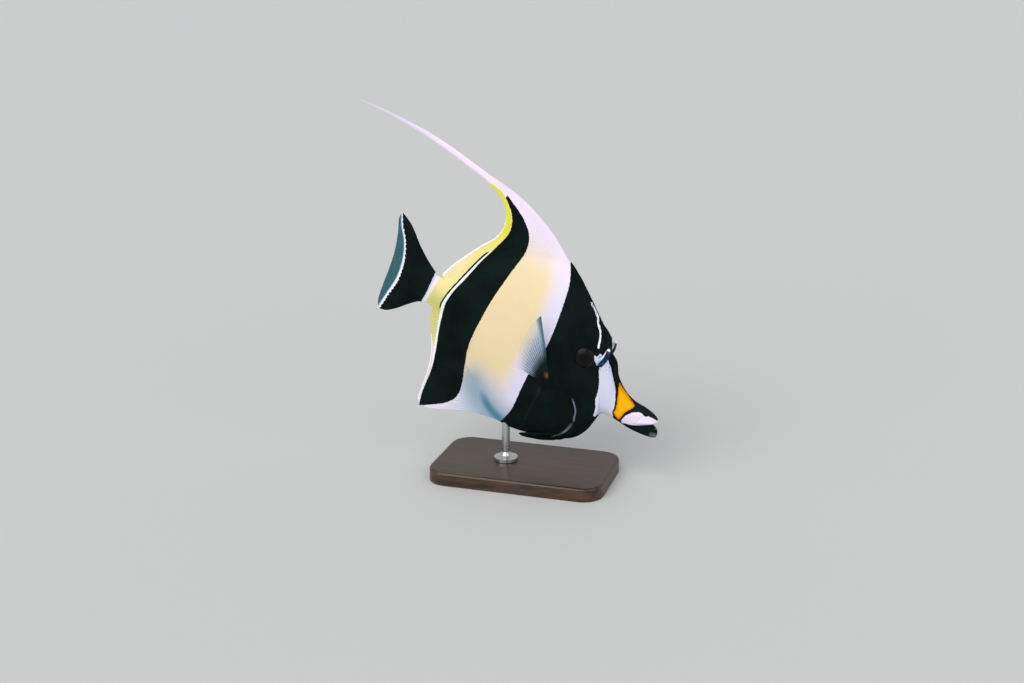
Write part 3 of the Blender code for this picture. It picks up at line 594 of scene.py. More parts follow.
def ridges(u, v, rays, height, starts, full, splits_at=None):
    """How high the rays stand over the membrane. Past splits_at each ray is two."""
    ray = comb(u, rays)
    if splits_at is not None:
        split = fade(v, splits_at, splits_at + RAY_SPLIT_RUN)
        ray = (1 - split) * ray + split * comb(u, 2 * rays)
    return height * ray**RAY_POWER * fade(v, starts, full) * (1 - RAY_FALL * v)


def membrane(root_half, edge_half, v):
    """Half the thickness of a fin's membrane, from its root to its edge."""
    return edge_half + (root_half - edge_half) * (1 - v) ** MEMBRANE_POWER


def line_distance(s, h, line, closed=False):
    """The distance from each point to the line, and the side of the line that it is on."""
    ends = np.roll(line, -1, axis=0) if closed else line[1:]
    starts = line if closed else line[:-1]
    run = ends - starts
    distance, side = np.empty(len(s)), np.empty(len(s))
    at_once = 4000
    for first in range(0, len(s), at_once):
        some = slice(first, first + at_once)
        points = np.stack([s, h], axis=1)[some, None]
        share = np.clip(((points - starts) * run).sum(2) / (run**2).sum(1), 0, 1)
        offset = points - (starts + share[..., None] * run)
        away = np.hypot(offset[..., 0], offset[..., 1])
        near = away.argmin(1)
        pick = np.arange(len(near))
        distance[some] = away[pick, near]
        cross = run[near, 0] * offset[pick, near, 1] - run[near, 1] * offset[pick, near, 0]
        side[some] = np.sign(cross)
    return distance, side


def curve_line(points, count=90):
    """The smooth curve through the points, as a line of short pieces."""
    return through(points)(np.linspace(0, 1, count))


def left_of(s, h, points):
    """How far each point is to the left of a smooth line, below zero to its right."""
    distance, side = line_distance(s, h, curve_line(points))
    return distance * side


def inside(s, h, corners):
    """How deep each point is inside a closed shape, below zero outside it."""
    corners = np.asarray(corners, float)
    distance = line_distance(s, h, corners, closed=True)[0]
    within = np.zeros(len(s), bool)
    for (s1, h1), (s2, h2) in zip(corners, np.roll(corners, -1, axis=0)):
        if h1 != h2:
            crosses = (h1 > h) != (h2 > h)
            within ^= crosses & (s < (s2 - s1) * (h - h1) / (h2 - h1) + s1)
    return np.where(within, distance, -distance)


def near_line(s, h, points, half_width):
    """How deep each point is inside a drawn line of that half width."""
    return half_width - line_distance(s, h, curve_line(points))[0]


def stroke(s, h, points, half_width, full, strength):
    """A soft stroke along a line."""
    return strength * fade(near_line(s, h, points, half_width), 0.0, full)


def tint(name, measures):
    """The tint's strength where all its spans are full, and less where one isn't."""
    strength, *spans = TINTS[name]
    for measure, nothing, full in spans:
        strength = strength * fade(measures[measure], nothing, full)
    return strength


def skin_marks(s, y, h):
    """The fish's markings, painted shade and painted highlights at each point: edges as depths in
    millimetres, soft ones from 0 to 1.
    """
    behind_head = -left_of(s, h, HEAD_BLACK)
    behind_band = -left_of(s, h, REAR_BAND_REAR)
    behind_line = -left_of(s, h, WHITE_LINE_REAR)
    below_root = left_of(s, h, BODY_ANAL)
    measures = {
        "s": s,
        "h": h,
        "head": behind_head,
        "band": behind_band,
        "root": below_root,
        "glow": -np.abs(behind_line - GLOW_AT),
        "stalk": s - STALK_SLOPE * h,
        "top": left_of(s, h, YELLOW_TOP),
    }

    def here(name):
        return tint(name, measures)

    band = np.minimum(-left_of(s, h, REAR_BAND_FRONT), -behind_band)
    band = np.where(h > FIN_TIP, np.minimum(band, BAND_TIP_SLOPE * (s - BAND_TIP)), band)
    present = here("dark_line")
    dark_line = DARK_LINE_HALF * present - np.abs(behind_line - DARK_LINE_AT) - DARK_LINE_GONE * (1 - present)
    face = np.maximum(inside(s, h, FACE), inside(s, h, CHEEK_SPOT))
    lip = inside(s, h, PALE_LIP)
    trailing = np.minimum(behind_band, -behind_line - WHITE_LINE_GAP)
    black = np.maximum.reduce([-behind_head, band, dark_line])

    brow_half = np.interp(h, BROW_AT, BROW_HALF)
    brow = np.where(y < 0, near_line(s, h, BROW_NEAR, brow_half), near_line(s, h, BROW_FAR, brow_half))
    margin = np.interp(h, DORSAL_MARGIN_AT, DORSAL_MARGIN)
    margin = margin - MARGIN_WAVER * (1 + np.sin(MARGIN_WAVES * (s - h)))
    beside_margin = (h > MARGIN_ENDS[0]) & (h < MARGIN_ENDS[1])
    margin = np.where(beside_margin, near_line(s, h, DORSAL_REAR, margin), -1.0)
    anal_edge = near_line(s, h, ANAL_REAR, here("anal_edge"))
    anal_edge = np.where(h < ANAL_EDGE_TOP, anal_edge, -1.0)

    stalk = here("stalk")
    strip = here("strip") * (1 - stalk)
    cream = here("cream") * fade(h, CREAM_FOOT + CREAM_FOOT_SLOPE * s, CREAM_FOOT_FULL)
    cream = cream * (1 - here("cream_loss")) * (1 - CREAM_LOSS * stalk)
    cool = np.maximum(here("cool_belly"), here("cool_shoulder"))
    cool = np.where(face > -ISLAND_RIM, FACE_COOL, cool)
    cool = np.where(lip > -ISLAND_RIM, LIP_COOL, cool)
    # Painted shade: along the anal fin's root in a narrow and a broad band, low on the flank, over the
    # stalk's strip and along the stalk's lower edge, and darker towards the filament's tip.
    shades = [
        here("shade") * hump(below_root - SHADE_AT, SHADE_WIDTH),
        here("broad_shade") * hump(below_root - BROAD_SHADE_AT, BROAD_SHADE_WIDTH),
        here("filament_shade") * (h > FIN_TIP),
        here("low_shade"),
        here("strip_shade") * strip,
        stroke(s, h, *STALK_SHADE_STROKE),
    ]
    # Painted highlights: along the gill cover's edge, a faint line on the flank, and a trace on the snout's
    # top.
    glints = [stroke(s, h, *GILL_GLINT_STROKE), stroke(s, h, *FLANK_GLINT_STROKE), here("snout_glint")]
    return {
        "black": np.minimum.reduce([black, -face, -lip, -trailing]),
        "white_line": np.maximum.reduce([brow, trailing, margin, anal_edge]),
        "saddle": inside(s, h, SADDLE),
        "cream": cream,
        "cool": cool,
        "shade": np.maximum.reduce(shades),
        "yellow": strip,
        "lemon": np.maximum(np.interp(h, LEMON_AT, LEMON), here("glow")),
        "glint": np.maximum.reduce(glints),
        "rust": stroke(s, h, *RUST_STROKE),
        "mottle": np.where(face > 0, here("mottle"), 0.0),
    }


def middle_fin(roots, front, rear, shape, edge_at, edge_half_at, rays, height):
    """The points and the half thickness of a fin that grows from the edge of the back or belly."""

    def section(u):
        return roots[0] + (roots[1] - roots[0]) * np.asarray(u)

    def root(u):
        return edge_at(section(u))

    fore, aft = through((root(0.0), *front)), through((root(1.0), rear[-1]))
    points, u, v = patch(root, through((front[-1], *rear)), fore, aft, *shape)
    thick = membrane(edge_half_at(section(u)), MEMBRANE_EDGE, v)
    return points, thick + ridges(u, v, rays, height, *MIDDLE_RAYS)


def build_skin(sizes, material):
    """Head, body, dorsal fin, its filament and the anal fin as one closed mesh."""
    sections = [0.0]
    for end, columns in SKIN_COLUMNS:
        sections += list(np.linspace(sections[-1], end, columns + 1)[1:])
    even = np.linspace(0, 1, SKIN_ROWS + 1)
    shares = SKIN_ROWS_EVEN * even + (1 - SKIN_ROWS_EVEN) * (1 - np.cos(math.pi * even)) / 2
    section, share = np.meshgrid(sections, shares, indexing="ij")
    points = flank_points(section, share)
    body = (points, add_relief(points, flank_half(section, share)))

    height = sizes.ray_height / MM
    shape = (DORSAL_COLUMNS, DORSAL_ROWS)
    back = (back_at, back_edge_at, sizes.dorsal_rays, height)
    dorsal = middle_fin(DORSAL_ROOTS, DORSAL_FRONT, DORSAL_REAR, shape, *back)
    filament = filament_sheet(*(grid[: FILAMENT_ROWS + 1, -1] for grid in dorsal))
    shape = (ANAL_COLUMNS, ANAL_ROWS)
    belly = (belly_at, belly_edge_at, sizes.anal_rays, height)
    anal = middle_fin(ANAL_ROOTS, ANAL_FRONT, ANAL_REAR, shape, *belly)
    mesh = flank_mesh(body, dorsal, filament, anal)
    nodes = ("head", "torso", "tail", "dorsal_fin_front", "dorsal_fin_rear", "dorsal_filament", "anal_fin")
    return finish_piece("skin", mesh, material, nodes, marks=skin_marks)


def add_relief(points, half):
    """The body's thickness with the orbit, nostrils, gill cover, brow ridge and lips worked into it."""
    s, h = points[..., 0], points[..., 1]
    away = np.hypot(s - EYE[0], h - EYE[1])
    half = half + ORBIT_HEIGHT * hump(away - ORBIT_RADIUS, ORBIT_WIDTH)
    half = half - SOCKET_DEPTH * (1 - fade(away, *SOCKET_EDGE))
    for nostril_s, nostril_h, radius in NOSTRILS:
        away = np.hypot(s - nostril_s, h - nostril_h)
        rim = NOSTRIL_RIM * hump(away - NOSTRIL_RIM_AT * radius, NOSTRIL_RIM_WIDTH)
        half = half - NOSTRIL_DEPTH * hump(away, radius) + rim
    room = np.clip(half / THIN, 0, 1)
    for line, tall, width in RIDGES:
        away = line_distance(s.ravel(), h.ravel(), curve_line(line))[0].reshape(s.shape)
        half = half + room * tall * hump(away, width)
    for (mound_s, mound_h), (long, high), tall in MOUNDS:
        half = half + tall * hump(np.hypot((s - mound_s) / long, (h - mound_h) / high), 1)
    return half


def filament_sheet(first, first_half):
    """The strip that trails from the dorsal fin's tip. Its first column is the fin's own."""
    u = np.linspace(0, 1, FILAMENT_COLUMNS + 1)
    share = np.linspace(0, 1, FILAMENT_ROWS + 1)
    depth = smooth(np.linspace(0, 1, len(FILAMENT_DEPTH)), FILAMENT_DEPTH)(u)
    points = through(FILAMENT_TOP)(u)[:, None] + np.zeros((1, len(share), 1))
    points[..., 1] -= depth[:, None] * share
    joined = 1 - fade(u, 0.0, FILAMENT_JOIN)[:, None]
    points += joined[..., None] * (first - points[0])[None]
    across = np.sqrt(np.clip(1 - (2 * share - 1) ** 2, 0, 1))
    half = np.interp(u, (0, 1), FILAMENT_HALF)[:, None] * (FILAMENT_EDGE + (1 - FILAMENT_EDGE) * across)
    return points, half + joined * (first_half - half[0])[None]


def build_jaw(material):
    """The lower jaw with its lip."""
    upper_at, lower_at, half_at = (smooth(range(len(JAW)), each) for each in zip(*JAW))
    along, share = shares(60, 20, len(JAW) - 1)
    points = between(lower_at(along), upper_at(along), share)
    lip_height, lip_at, lip_width = JAW_LIP
    lip = lip_height * hump(share - lip_at, lip_width) * fade(along, *JAW_LIP_RISES)
    arc_start, arc_length = JAW_ARC
    round_side = JAW_EDGE + (1 - JAW_EDGE) * np.sin(math.pi * (arc_start + arc_length * share))
    mesh = flank_mesh((points, half_at(along) * round_side + lip))

    def marks(s, y, h):
        # Painted highlight in streaks on the jaw's tip.
        streaks = 0.65 + 0.35 * np.sin(3.1 * s + 2.2 * h + 2.0 * np.sin(1.7 * h))
        return {"glint": tint("jaw_glint", {"s": s, "h": h}) * streaks}

    return finish_piece("jaw", mesh, material, ("lower_jaw",), marks=marks)


def build_mouth(dark, bone):
    """The dark lining between the jaws, and a row of fine teeth along each."""
    u, v = shares(30, 8)
    points = between(through(MOUTH_FLOOR)(u), through(MOUTH_ROOF)(u), v)
    mesh = flank_mesh((points, np.interp(u, MOUTH_HALF_AT, MOUTH_HALF)))
    finish_piece("mouth_lining", mesh, dark, ())

    teeth = bmesh.new()
    tooth = {"segments": 8, "radius1": TOOTH_FOOT, "radius2": TOOTH_TIP, "depth": TOOTH_LENGTH}
    for row, down, wide in TOOTH_ROWS:
        line = through(row)
        for share in np.linspace(0, 1, TEETH_IN_ROW):
            for side, _ in SIDES:
                s, h = line(share)
                made = bmesh.ops.create_cone(teeth, cap_ends=True, **tooth)["verts"]
                out = side * wide * math.sqrt(1.02 - TOOTH_ROW_NARROWS * share**2)
                for vert in made:
                    vert.co.z *= down
                    vert.co.x += TOOTH_LEAN * (vert.co.z * down + TOOTH_LENGTH / 2)
                    vert.co += Vector((s, out, h))
    bmesh.ops.recalc_face_normals(teeth, faces=teeth.faces)
    return finish_piece("teeth", teeth, bone, ())


def build_tail_fin(sizes, material):
    """The tail fin, whose rays each split in two on their way to the hollow rear edge."""
    top, bottom = (0.6, SECTIONS[0][0][1] - 0.3), (0.6, SECTIONS[0][1][1] + 0.3)
    rear = through((*TAIL_FIN_REAR[::-1], TAIL_FIN_TOP[-1]))
    lower = through((bottom, *TAIL_FIN_BOTTOM, TAIL_FIN_REAR[-1]))
    upper = through((top, *TAIL_FIN_TOP))
    points, u, v = patch(through((bottom, top)), rear, lower, upper, TAIL_COLUMNS, TAIL_ROWS)
    thin, more = TAIL_FIN_HALF
    thick = membrane(thin + more * np.sin(math.pi * u), MEMBRANE_EDGE, v)
    height = TAIL_RAY_SHARE * sizes.ray_height / MM
    mesh = flank_mesh((points, thick + ridges(u, v, sizes.tail_rays, height, *TAIL_RAYS)))

    def marks(s, y, h):
        (wide, slow), (mid, quick), (fine, quickest) = TAIL_JAGS
        jag = wide * np.abs(np.sin(h * slow)) + mid * np.sin(h * quick) + fine * np.sin(h * quickest + s)
        trail = left_of(s, h, TAIL_TRAIL)
        return {
            "black": np.minimum(-left_of(s, h, TAIL_BLACK), trail - jag),
            "white_line": np.interp(h, TAIL_LINE_AT, TAIL_LINE_HALF) - np.abs(trail - jag),
            "clear": tint("clear", {"trail": trail}),
            "cool": 1.0,
        }

    return finish_piece("tail_fin", mesh, material, ("caudal_fin",), marks=marks)


def build_side_fin(kind, fin, side, word, rays, height, material):
    """A fan of rays from a short root line on flank or belly, leaning off the body."""
    first, last = through((fin.base[0], fin.edge[0])), through((fin.base[-1], fin.edge[-1]))
    points, u, v = patch(through(fin.base), through(fin.edge), first, last, fin.columns, fin.rows)
    thick = membrane(fin.root_half, fin.edge_half, v)
    mesh = flank_mesh((points, thick + ridges(u, v, rays, height, *SIDE_RAYS)))
    start, end = np.array(fin.base[0]), np.array(fin.base[-1])
    start_out, end_out = side_half(*start) - fin.sink, side_half(*end) - fin.sink

    def beside(s, y, h):
        run = end - start
        along = np.clip(((s - start[0]) * run[0] + (h - start[1]) * run[1]) / (run @ run), 0, 1)
        away = np.hypot(s - start[0] - along * run[0], h - start[1] - along * run[1])
        out = start_out + along * (end_out - start_out)
        return world(s, side * (out + fin.lean * away) + y, h)

    def marks(s, y, h):
        nearest = nearest_spots(points, s, h)
        reach, across = v.ravel()[nearest], u.ravel()[nearest]
        measures = {"reach": reach, "across": across, "ray": comb(across, rays)}
        return {
            # The root mark is painted shadow over the fin's root and lower part.
            "root": np.maximum(tint("fin_root_shadow", measures), tint("fin_lower_shadow", measures)),
            "ray": tint("fin_ray", measures),
            "lead": tint("fin_lead", measures),
            "reach": reach,
        }

    return finish_piece(f"{kind}_{word}", mesh, material, (f"{kind}_fin_{word}",), beside, marks)


def build_eye(word, side, material):
    """An eyeball laid on the slope of the head."""
    mesh = bmesh.new()
    bmesh.ops.create_uvsphere(mesh, u_segments=64, v_segments=40, radius=1.0)
    bmesh.ops.scale(mesh, verts=mesh.verts, vec=(EYE_RADIUS, EYE_BULGE, EYE_RADIUS))
    s, h = EYE
    narrows = side_half(s - EYE_RADIUS, h) - side_half(s + EYE_RADIUS, h)
    falls = side_half(s, h - EYE_RADIUS) - side_half(s, h + EYE_RADIUS)
    lean = Vector((0, side, 0)).rotation_difference(Vector((narrows, 2 * side * EYE_RADIUS, falls)))
    bmesh.ops.rotate(mesh, verts=mesh.verts, cent=(0, 0, 0), matrix=lean.to_matrix())
    bmesh.ops.translate(mesh, verts=mesh.verts, vec=(s, side * EYE_OUT, h))

    def marks(s, y, h):
        return {"from_pupil": np.hypot(s - EYE[0], h - EYE[1]), "frontward": (s - EYE[0]) / EYE_RADIUS}

    return finish_piece("eyeball_" + word, mesh, material, ("eye_" + word,), marks=marks)


def build_horn(word, side, material):
    """A short bony horn in front of the eye, swept along its line and closed at its tip."""
    outs = [side_half(*spot) + out for spot, out in zip(HORN, HORN_OUT)] + [HORN_TIP_OUT]
    line = through([(s, side * out, h) for (s, h), out in zip(HORN, outs)])
    thick = smooth((0.0, 0.5, 1.0), HORN_RADII)
    mesh = bmesh.new()
    tube = {"cap_ends": True, "cap_tris": True, "segments": 28, "radius1": 1.0, "radius2": 1.0, "depth": 1.0}
    bmesh.ops.create_cone(mesh, **tube)
    upright = [edge for edge in mesh.edges if abs(edge.verts[0].co.z - edge.verts[1].co.z) > 0.5]
    bmesh.ops.subdivide_edges(mesh, edges=upright, cuts=40)
    for vert in mesh.verts:
        u = vert.co.z + 0.5
        centre, ahead = line(u), line(min(u + 0.02, 1.0)) - line(max(u - 0.02, 0.0))
        lean = Vector((0, 0, 1)).rotation_difference(Vector(ahead))
        past = max(0.0, (u - 1 + HORN_BLUNTS) / HORN_BLUNTS)
        radius = float(thick(u)) * max(math.sqrt(max(0.0, 1 - past**2)), 0.05)
        vert.co = Vector(centre) + lean @ Vector((vert.co.x * radius, vert.co.y * radius, 0))

    def marks(s, y, h):
        inward = np.interp(h, [spot[1] for spot in HORN], outs) - side * y
        return {"rearward": left_of(s, h, HORN) + HORN_INWARD * np.clip(inward, 0, None), "height": h}

    return finish_piece("brow_horn_" + word, mesh, material, ("horn_" + word,), marks=marks)


def new_material(name):
    """A new material and its node tree."""
    material = bpy.data.materials.new(name)
    material.use_nodes = True
    return material, material.node_tree


def set_inputs(tree, node, inputs):
    """Sets the node's inputs to values, or links them from other nodes."""
    for key, value in inputs.items():
        if isinstance(value, bpy.types.NodeSocket):
            tree.links.new(value, node.inputs[key])
        else:
            node.inputs[key].default_value = value


def set_surface(tree, **inputs):
    """Sets the shader's inputs, each named with _ for a space."""
    spaced = {key.replace("_", " "): value for key, value in inputs.items()}
    set_inputs(tree, tree.nodes["Principled BSDF"], spaced)


def add_node(tree, kind, inputs=None, **settings):
    """A node with its settings and its inputs."""
    made = tree.nodes.new(kind)
    for key, value in settings.items():
        setattr(made, key, value)
    set_inputs(tree, made, inputs or {})
    return made


def mark(tree, name):
    """A piece's own marking."""
    return add_node(tree, "ShaderNodeAttribute", attribute_name=name).outputs["Fac"]


def object_place(tree, stretch=(1.0, 1.0, 1.0)):
    """Object coordinates, in metres, stretched along each axis."""
    place = add_node(tree, "ShaderNodeTexCoord").outputs["Object"]
    return add_node(tree, "ShaderNodeMapping", {"Vector": place, "Scale": stretch}).outputs["Vector"]


def noise(tree, place, scale, detail=2.0, distortion=0.0):
    """A cloudy pattern from 0 to 1."""
    inputs = {"Vector": place, "Scale": scale, "Detail": detail, "Distortion": distortion}
    return add_node(tree, "ShaderNodeTexNoise", inputs).outputs["Fac"]


def mixed(tree, share, first, second):
    """The first colour, and the second where the share is 1."""
    colours = {6: first, 7: second}
    for key, value in colours.items():
        if not isinstance(value, bpy.types.NodeSocket):
            colours[key] = (*value, 1.0)
    return add_node(tree, "ShaderNodeMix", {0: share, **colours}, data_type="RGBA").outputs[2]


def ranged(tree, value, low, high, to_low=0.0, to_high=1.0):
    """The value's range from low to high as a smooth step to the new range."""
    inputs = {"Value": value, "From Min": low, "From Max": high, "To Min": to_low, "To Max": to_high}
    return add_node(tree, "ShaderNodeMapRange", inputs, interpolation_type="SMOOTHSTEP").outputs["Result"]


def reckoned(tree, operation, first, second):
    """Two values put together by a math node."""
    return add_node(tree, "ShaderNodeMath", {0: first, 1: second}, operation=operation).outputs[0]


def bumpy(tree, height, strength, distance):
    """The surface's normal with a relief on it."""
    inputs = {"Height": height, "Strength": strength, "Distance": distance}
    return add_node(tree, "ShaderNodeBump", inputs).outputs["Normal"]


def skin_material(colours, sizes):
    """Black, white, cream and yellow skin with fine scales, drawn by the piece's own attributes."""
    material, tree = new_material("fish_skin")
    place = object_place(tree)
    shift = ranged(tree, noise(tree, place, 900.0, 3.0), 0.3, 0.7, -0.14, 0.14)
    broad = noise(tree, place, 60.0, 4.0)
    specks = noise(tree, place, 800.0)

    def over(name, under, tint, soft=0.14):
        edge = ranged(tree, reckoned(tree, "ADD", mark(tree, name), shift), -soft, soft)
        return mixed(tree, edge, under, tint)

    colour = mixed(tree, mark(tree, "cream"), colours.pink_white, colours.cream)
    strip = mixed(tree, mark(tree, "lemon"), colours.pale_yellow, colours.lemon)
    # The shade mark mixes in painted shade in slate.
    for name, paint in (("cool", colours.blue_white), ("yellow", strip), ("shade", colours.slate)):
        colour = mixed(tree, mark(tree, name), colour, paint)
    colour = mixed(tree, ranged(tree, broad, 0.2, 0.8, 0.0, 0.08), colour, colours.slate)
    patches = reckoned(tree, "MULTIPLY", mark(tree, "mottle"), ranged(tree, specks, 0.5, 0.68, 0.0, 0.7))
    colour = mixed(tree, patches, colour, colours.slate)
    # The bands' black, with a painted greenish sheen in cloudy patches, painted highlights where the glint
    # mark is, and the rust streak's own colour.
    night = mixed(tree, ranged(tree, broad, 0.3, 0.7), colours.black, colours.deep_green)
    night = mixed(tree, mark(tree, "glint"), night, colours.blue_white)
    night = mixed(tree, mark(tree, "rust"), night, colours.rust)
    colour = over("black", colour, night)
    colour = over("white_line", colour, colours.line_white)
    deep = mixed(tree, ranged(tree, mark(tree, "saddle"), 0.1, 1.5), colours.amber, colours.orange)
    colour = over("saddle", colour, deep, 0.3)
    clear = mark(tree, "clear")
    inputs = {"Vector": place, "Scale": 1 / sizes.scale_size}
    scales = add_node(tree, "ShaderNodeTexVoronoi", inputs, feature="F1").outputs["Distance"]
    set_surface(
        tree,
        Base_Color=mixed(tree, clear, colour, colours.tail_clear),
        Roughness=ranged(tree, broad, 0.2, 0.8, 0.48, 0.62),
        Alpha=ranged(tree, clear, 0.0, 1.0, 1.0, 0.8),
        Specular_IOR_Level=0.03,
        Normal=bumpy(tree, scales, 0.3, 0.0001),
    )
    return material


def clear_fin_material(colours):
    """The glassy fin of the flank: pale rays in a faint membrane, dark at its leading edge, and painted
    shadow that darkens and thickens its root and lower part.
    """
    material, tree = new_material("clear_fin")
    ray, lead, root, reach = (mark(tree, name) for name in ("ray", "lead", "root", "reach"))
    colour = mixed(tree, ray, colours.lead_blue, colours.blue_white)
    colour = mixed(tree, lead, colour, colours.lead_blue)
    dense = reckoned(tree, "MAXIMUM", root, ranged(tree, lead, 0.0, 1.0, 0.0, 0.8))
    cover = reckoned(tree, "MAXIMUM", ranged(tree, reach, 0.3, 1.0, 0.62, 0.05), dense)
    ray_cover = reckoned(tree, "MULTIPLY", ray, ranged(tree, reach, 0.35, 0.98, 0.85, 0.08))
    set_surface(
        tree,
        Base_Color=mixed(tree, root, colour, colours.deep_green),
        Roughness=0.45,
        Alpha=reckoned(tree, "MAXIMUM", cover, ray_cover),
        Specular_IOR_Level=0.1,
    )
    return material


def eye_material(colours):
    """A wet eye: black pupil, near-black iris, and a warm glow at the front of its rim."""
    material, tree = new_material("wet_eye")
    away = mark(tree, "from_pupil")
    iris = mixed(tree, noise(tree, object_place(tree), 1400.0), colours.iris_dark, colours.black)
    colour = mixed(tree, ranged(tree, away, 2.3, 2.6), colours.pupil, iris)
    front = ranged(tree, mark(tree, "frontward"), 0.4, 0.9)
    rim = reckoned(tree, "MULTIPLY", ranged(tree, away, 4.4, 5.2), front)
    set_surface(
        tree,
        Base_Color=mixed(tree, rim, colour, colours.iris_warm),
        Roughness=0.3,
        Specular_IOR_Level=0.1,
        Coat_Weight=0.04,
        Coat_Roughness=0.06,
    )
    return material


def horn_material(colours):
    """Navy bone with a painted sheen in cloudy patches, and a painted highlight along its rear edge and at
    its tip that turns light blue at its foot.
    """
    material, tree = new_material("brow_horn")
    height = mark(tree, "height")
    edge = mixed(tree, ranged(tree, height, 18.0, 21.0), colours.foot_blue, colours.line_white)
    tip = ranged(tree, height, 25.7, 26.3)
    pale = reckoned(tree, "MAXIMUM", ranged(tree, mark(tree, "rearward"), 0.7, 1.1), tip)
    # Painted sheen: lighter navy in cloudy patches over the bone.
    grain = ranged(tree, noise(tree, object_place(tree), 700.0), 0.4, 0.75)
    bone = mixed(tree, grain, colours.navy, colours.navy_sheen)
    set_surface(tree, Base_Color=mixed(tree, pale, bone, edge), Roughness=0.45, Specular_IOR_Level=0.1)
    return material


def tooth_material(colours):
    """Pale bone."""
    material, tree = new_material("teeth")
    set_surface(tree, Base_Color=(*colours.tooth, 1.0), Roughness=0.3)
    return material


def wood_material(colours):
    """Dark stained hardwood with its grain along the base."""
    material, tree = new_material("stained_wood")
    grain = noise(tree, object_place(tree, (6.0, 60.0, 60.0)), 6.0, 8.0, 0.6)
    set_surface(
        tree,
        Base_Color=mixed(tree, ranged(tree, grain, 0.3, 0.7), colours.wood_dark, colours.wood),
        Roughness=ranged(tree, grain, 0.2, 0.8, 0.3, 0.42),
        Normal=bumpy(tree, grain, 0.2, 0.0002),
    )
    return material


def metal_material(colours):
    """Turned steel with fine rings."""
    material, tree = new_material("turned_steel")
    rings = noise(tree, object_place(tree, (40.0, 40.0, 4000.0)), 1.0)
    rough = ranged(tree, rings, 0.3, 0.7, 0.22, 0.36)
    set_surface(tree, Base_Color=(*colours.steel, 1.0), Metallic=1.0, Roughness=rough)
    return material


def colour_property(name, value, text):
    """A colour that a user can change."""
    limits = {"size": 3, "min": 0, "max": 1}
    return FloatVectorProperty(name=name, description=text, default=value, subtype="COLOR", **limits)


def count_property(name, value, text):
    """A number of rays that a user can change."""
    return IntProperty(name=name, description=text, default=value, min=6)


def size_property(name, value, text, unit="LENGTH"):
    """A length or an angle that a user can change."""
    return FloatProperty(name=name, description=text, default=value, unit=unit)


class FigureSizes(PropertyGroup):
    """Sizes of the fish's fine forms."""

    dorsal_rays: count_property("Dorsal rays", 41, "Rays in the dorsal fin")
    anal_rays: count_property("Anal rays", 34, "Rays in the anal fin")
    tail_rays: count_property("Tail rays", 16, "Rays in the tail fin before they split")
    pectoral_rays: count_property("Pectoral rays", 15, "Rays in each pectoral fin")
    ray_height: size_property("Ray height", 0.00016, "How far a ray stands over its membrane")
    scale_size: size_property("Scale size", 0.0008, "Width of one skin scale")


class FigureColours(PropertyGroup):
    """Colours of the fish and its stand."""

    pink_white: colour_property("Pink white", (0.88, 0.75, 0.9), "Flank near the head, and filament")
    cream: colour_property("Cream", (0.82, 0.66, 0.39), "Middle of the flank")
    blue_white: colour_property("Blue white", (0.58, 0.63, 0.78), "Low flank, face and lip")
    slate: colour_property("Slate", (0.05, 0.2, 0.26), "Shade over the anal fin's root")
    pale_yellow: colour_property("Pale yellow", (0.9, 0.74, 0.46), "Strip behind the rear band")
    lemon: colour_property("Lemon", (0.74, 0.71, 0.04), "Upper and lower ends of that strip")
    black: colour_property("Black", (0.003, 0.005, 0.005), "Bands")
    deep_green: colour_property("Deep green", (0.004, 0.011, 0.01), "Bands where they catch light")
    rust: colour_property("Rust", (0.2, 0.08, 0.035), "Streak at the root of the pectoral fin")
    line_white: colour_property("Line white", (0.86, 0.87, 0.92), "Thin lines along the bands")
    orange: colour_property("Orange", (0.92, 0.42, 0.003), "Saddle on the snout")
    amber: colour_property("Amber", (0.75, 0.27, 0.002), "Rim of the saddle")
    lead_blue: colour_property("Leading blue", (0.07, 0.2, 0.26), "Leading edge of the pectoral fin")
    tail_clear: colour_property("Tail margin", (0.025, 0.11, 0.14), "Glassy rear margin of the tail fin")
    # The horns: a painted highlight that is light blue at the foot, the navy bone, and a painted sheen over
    # it.
    foot_blue: colour_property("Horn foot", (0.3, 0.5, 0.72), "Foot of each horn")
    navy: colour_property("Navy", (0.006, 0.018, 0.045), "Horns")
    navy_sheen: colour_property("Navy sheen", (0.02, 0.08, 0.18), "Painted sheen on the horns")
    pupil: colour_property("Pupil", (0.002, 0.002, 0.003), "Pupil of each eye")
    iris_dark: colour_property("Iris dark", (0.005, 0.003, 0.002), "Dark of the iris")
    iris_warm: colour_property("Iris warm", (0.04, 0.014, 0.003), "Front of the iris's rim")
    tooth: colour_property("Teeth", (0.72, 0.68, 0.56), "Teeth")
    wood_dark: colour_property("Dark wood", (0.02, 0.01, 0.006), "Grain of the base")
    wood: colour_property("Wood", (0.07, 0.035, 0.02), "Base")
    steel: colour_property("Steel", (0.55, 0.55, 0.56), "Rod")


class StudioSizes(PropertyGroup):
    """The camera's place and the floor."""

    lens: size_property("Lens", 50.0, "Focal length", "CAMERA")
    distance: size_property("Distance", 0.817, "Camera to the fish")
    around: size_property("Around", math.radians(17), "Camera's turn towards the nose", "ROTATION")
    above: size_property("Above", math.radians(17), "Camera's height angle", "ROTATION")
    floor_width: size_property("Floor width", 24.0, "Side of the floor")


class FISHFIGURE_OT_skin(Operator):
    """Makes the skin of head, body, dorsal fin and anal fin, the lower jaw, and the mouth with its teeth"""

    bl_idname = "fishfigure.skin"
    bl_label = "Skin, jaw and mouth"

    def execute(self, context):
        sizes, colours = context.scene.figure_sizes, context.scene.figure_colours
        material = skin_material(colours, sizes)
        build_skin(sizes, material)
        build_jaw(material)
        build_mouth(material, tooth_material(colours))
        return {"FINISHED"}


